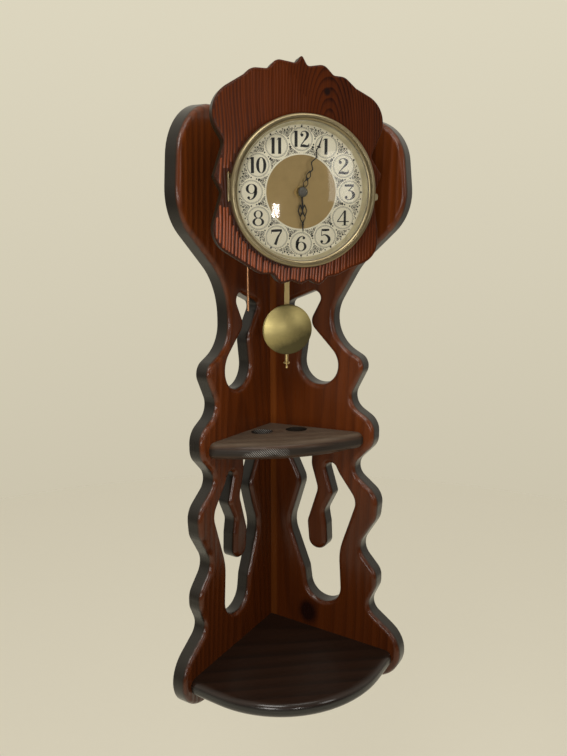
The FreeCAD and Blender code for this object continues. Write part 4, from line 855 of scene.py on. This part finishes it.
def raised_grain(name, board, material):
    """Long low ridges along the grain that lie on the board and stay clear of the bezel."""
    verts, faces = [], []
    count = len(PROFILE)
    for run in grain_runs(board_front(board)):
        if len(run) < GRAIN_SHORTEST:
            continue
        first = len(verts)
        for i, (points, z, rise) in enumerate(run):
            taper = min(1.0, GRAIN_END + GRAIN_TAPER * min(i, len(run) - 1 - i))
            for (x, y), (_, up) in zip(points, PROFILE):
                verts.append((x, y + GRAIN_SINK - GRAIN_HIGH * rise * taper * up, z))
        for one in range(first, len(verts) - count, count):
            two = one + count
            for k in range(count):
                n = (k + 1) % count
                faces.append((one + k, one + n, two + n, two + k))
        faces.append(tuple(reversed(range(first, first + count))))
        faces.append(tuple(range(len(verts) - count, len(verts))))
    mesh = frame_piece(name, verts, faces, material)
    for face in mesh.polygons:
        face.use_smooth = True
    mesh.set_sharp_from_angle(angle=GRAIN_SHARP)


raised_grain("board_grain", nodes["face_board"], brushed_pine)

# Stage: a pale floor
FLOOR_Z = -1.55
FLOOR_R = 3.0
FLOOR_SIDES = 96
turns = [2 * math.pi * i / FLOOR_SIDES for i in range(FLOOR_SIDES)]
ground_mesh = bpy.data.meshes.new("floor")
ground_mesh.from_pydata(
    [(FLOOR_R * math.cos(a), FLOOR_R * math.sin(a), FLOOR_Z) for a in turns], [], [tuple(range(FLOOR_SIDES))]
)
ground = bpy.data.objects.new("floor", ground_mesh)
bpy.context.scene.collection.objects.link(ground)
ground_mesh.materials.append(coated("pale_floor", (0.85, 0.835, 0.75), 0.8, 40.0, 0.0002, 0.04))

# Light from a pale room, dimmer in front of the object, and an even pale background for the camera
world = bpy.data.worlds.new("studio")
bpy.context.scene.world = world
world.use_nodes = True
sky = Tree(world.node_tree)
way = sky.split(sky.coords("Generated"))
back = sky.math("MULTIPLY_ADD", way[1], 0.5, 0.5)
up = sky.math("MULTIPLY_ADD", way[2], 0.5, 0.5)
room = sky.ramp(back, (0.08, (0.058, 0.052, 0.043)), (0.34, (0.55, 0.51, 0.425)))
ceiling = sky.ramp(up, (0.55, 0.0), (0.90, (0.28, 0.26, 0.22)))
dim = sky.ramp(up, (0.30, 0.45), (0.65, 1.0))
light = sky.mix(1.0, sky.mix(1.0, room, dim, "MULTIPLY"), ceiling, "ADD")
wall = sky.ramp(up, (0.30, (0.60, 0.55, 0.42)), (0.62, (0.72, 0.67, 0.52)))
seen = sky.add("ShaderNodeLightPath").outputs["Is Camera Ray"]
sky.put(world.node_tree.nodes["Background"].inputs[0], sky.mix(seen, light, wall))
bpy.context.scene.view_settings.view_transform = "Standard"

# Camera at the photograph's viewing angle
PHOTO_H_PX = 756.0
FOCAL_PX = 742.7
SENSOR = 36.0
CAMERA = (-0.2043, -0.9364, -0.0642)
CAMERA_DOWN = 13.24
CAMERA_RIGHT = 13.7
lens = bpy.data.cameras.new("camera")
lens.sensor_fit = "VERTICAL"
lens.sensor_height = SENSOR
lens.lens = FOCAL_PX / PHOTO_H_PX * SENSOR
lens.clip_end = 100.0
camera = bpy.data.objects.new("camera", lens)
bpy.context.scene.collection.objects.link(camera)
camera.location = CAMERA
camera.rotation_euler = (math.radians(90.0 - CAMERA_DOWN), 0.0, math.radians(-CAMERA_RIGHT))
bpy.context.scene.camera = camera

# Soft studio light: name, place, aim, width, height and watts
LAMP_WHITE = (1.0, 0.97, 0.92)
SOFTBOXES = (
    ("key", (-0.5, -1.2, 0.85), (0.0, -0.15, -0.05), 0.6, 0.6, 8.0),
    ("top", (0.25, -0.75, 0.95), (0.0, -0.15, 0.0), 0.5, 0.5, 2.5),
    ("left", (-0.75, -1.75, -0.22), (0.0, -0.15, -0.15), 0.35, 0.5, 5.5),
    ("right", (0.85, -1.5, 0.15), (0.0, -0.15, -0.1), 0.35, 0.6, 2.0),
    ("window", (0.03, -1.95, -0.29), (0.0, -0.19, -0.07), 0.10, 0.19, 1.7),
)
for name, place, aim, width, height, watts in SOFTBOXES:
    lamp = bpy.data.lights.new(name, "AREA")
    lamp.shape = "RECTANGLE"
    lamp.size = width
    lamp.size_y = height
    lamp.energy = watts
    lamp.color = LAMP_WHITE
    box = bpy.data.objects.new(name, lamp)
    bpy.context.scene.collection.objects.link(box)
    box.location = place
    toward = Vector([a - p for a, p in zip(aim, place)])
    box.rotation_euler = toward.to_track_quat("-Z", "Y").to_euler()
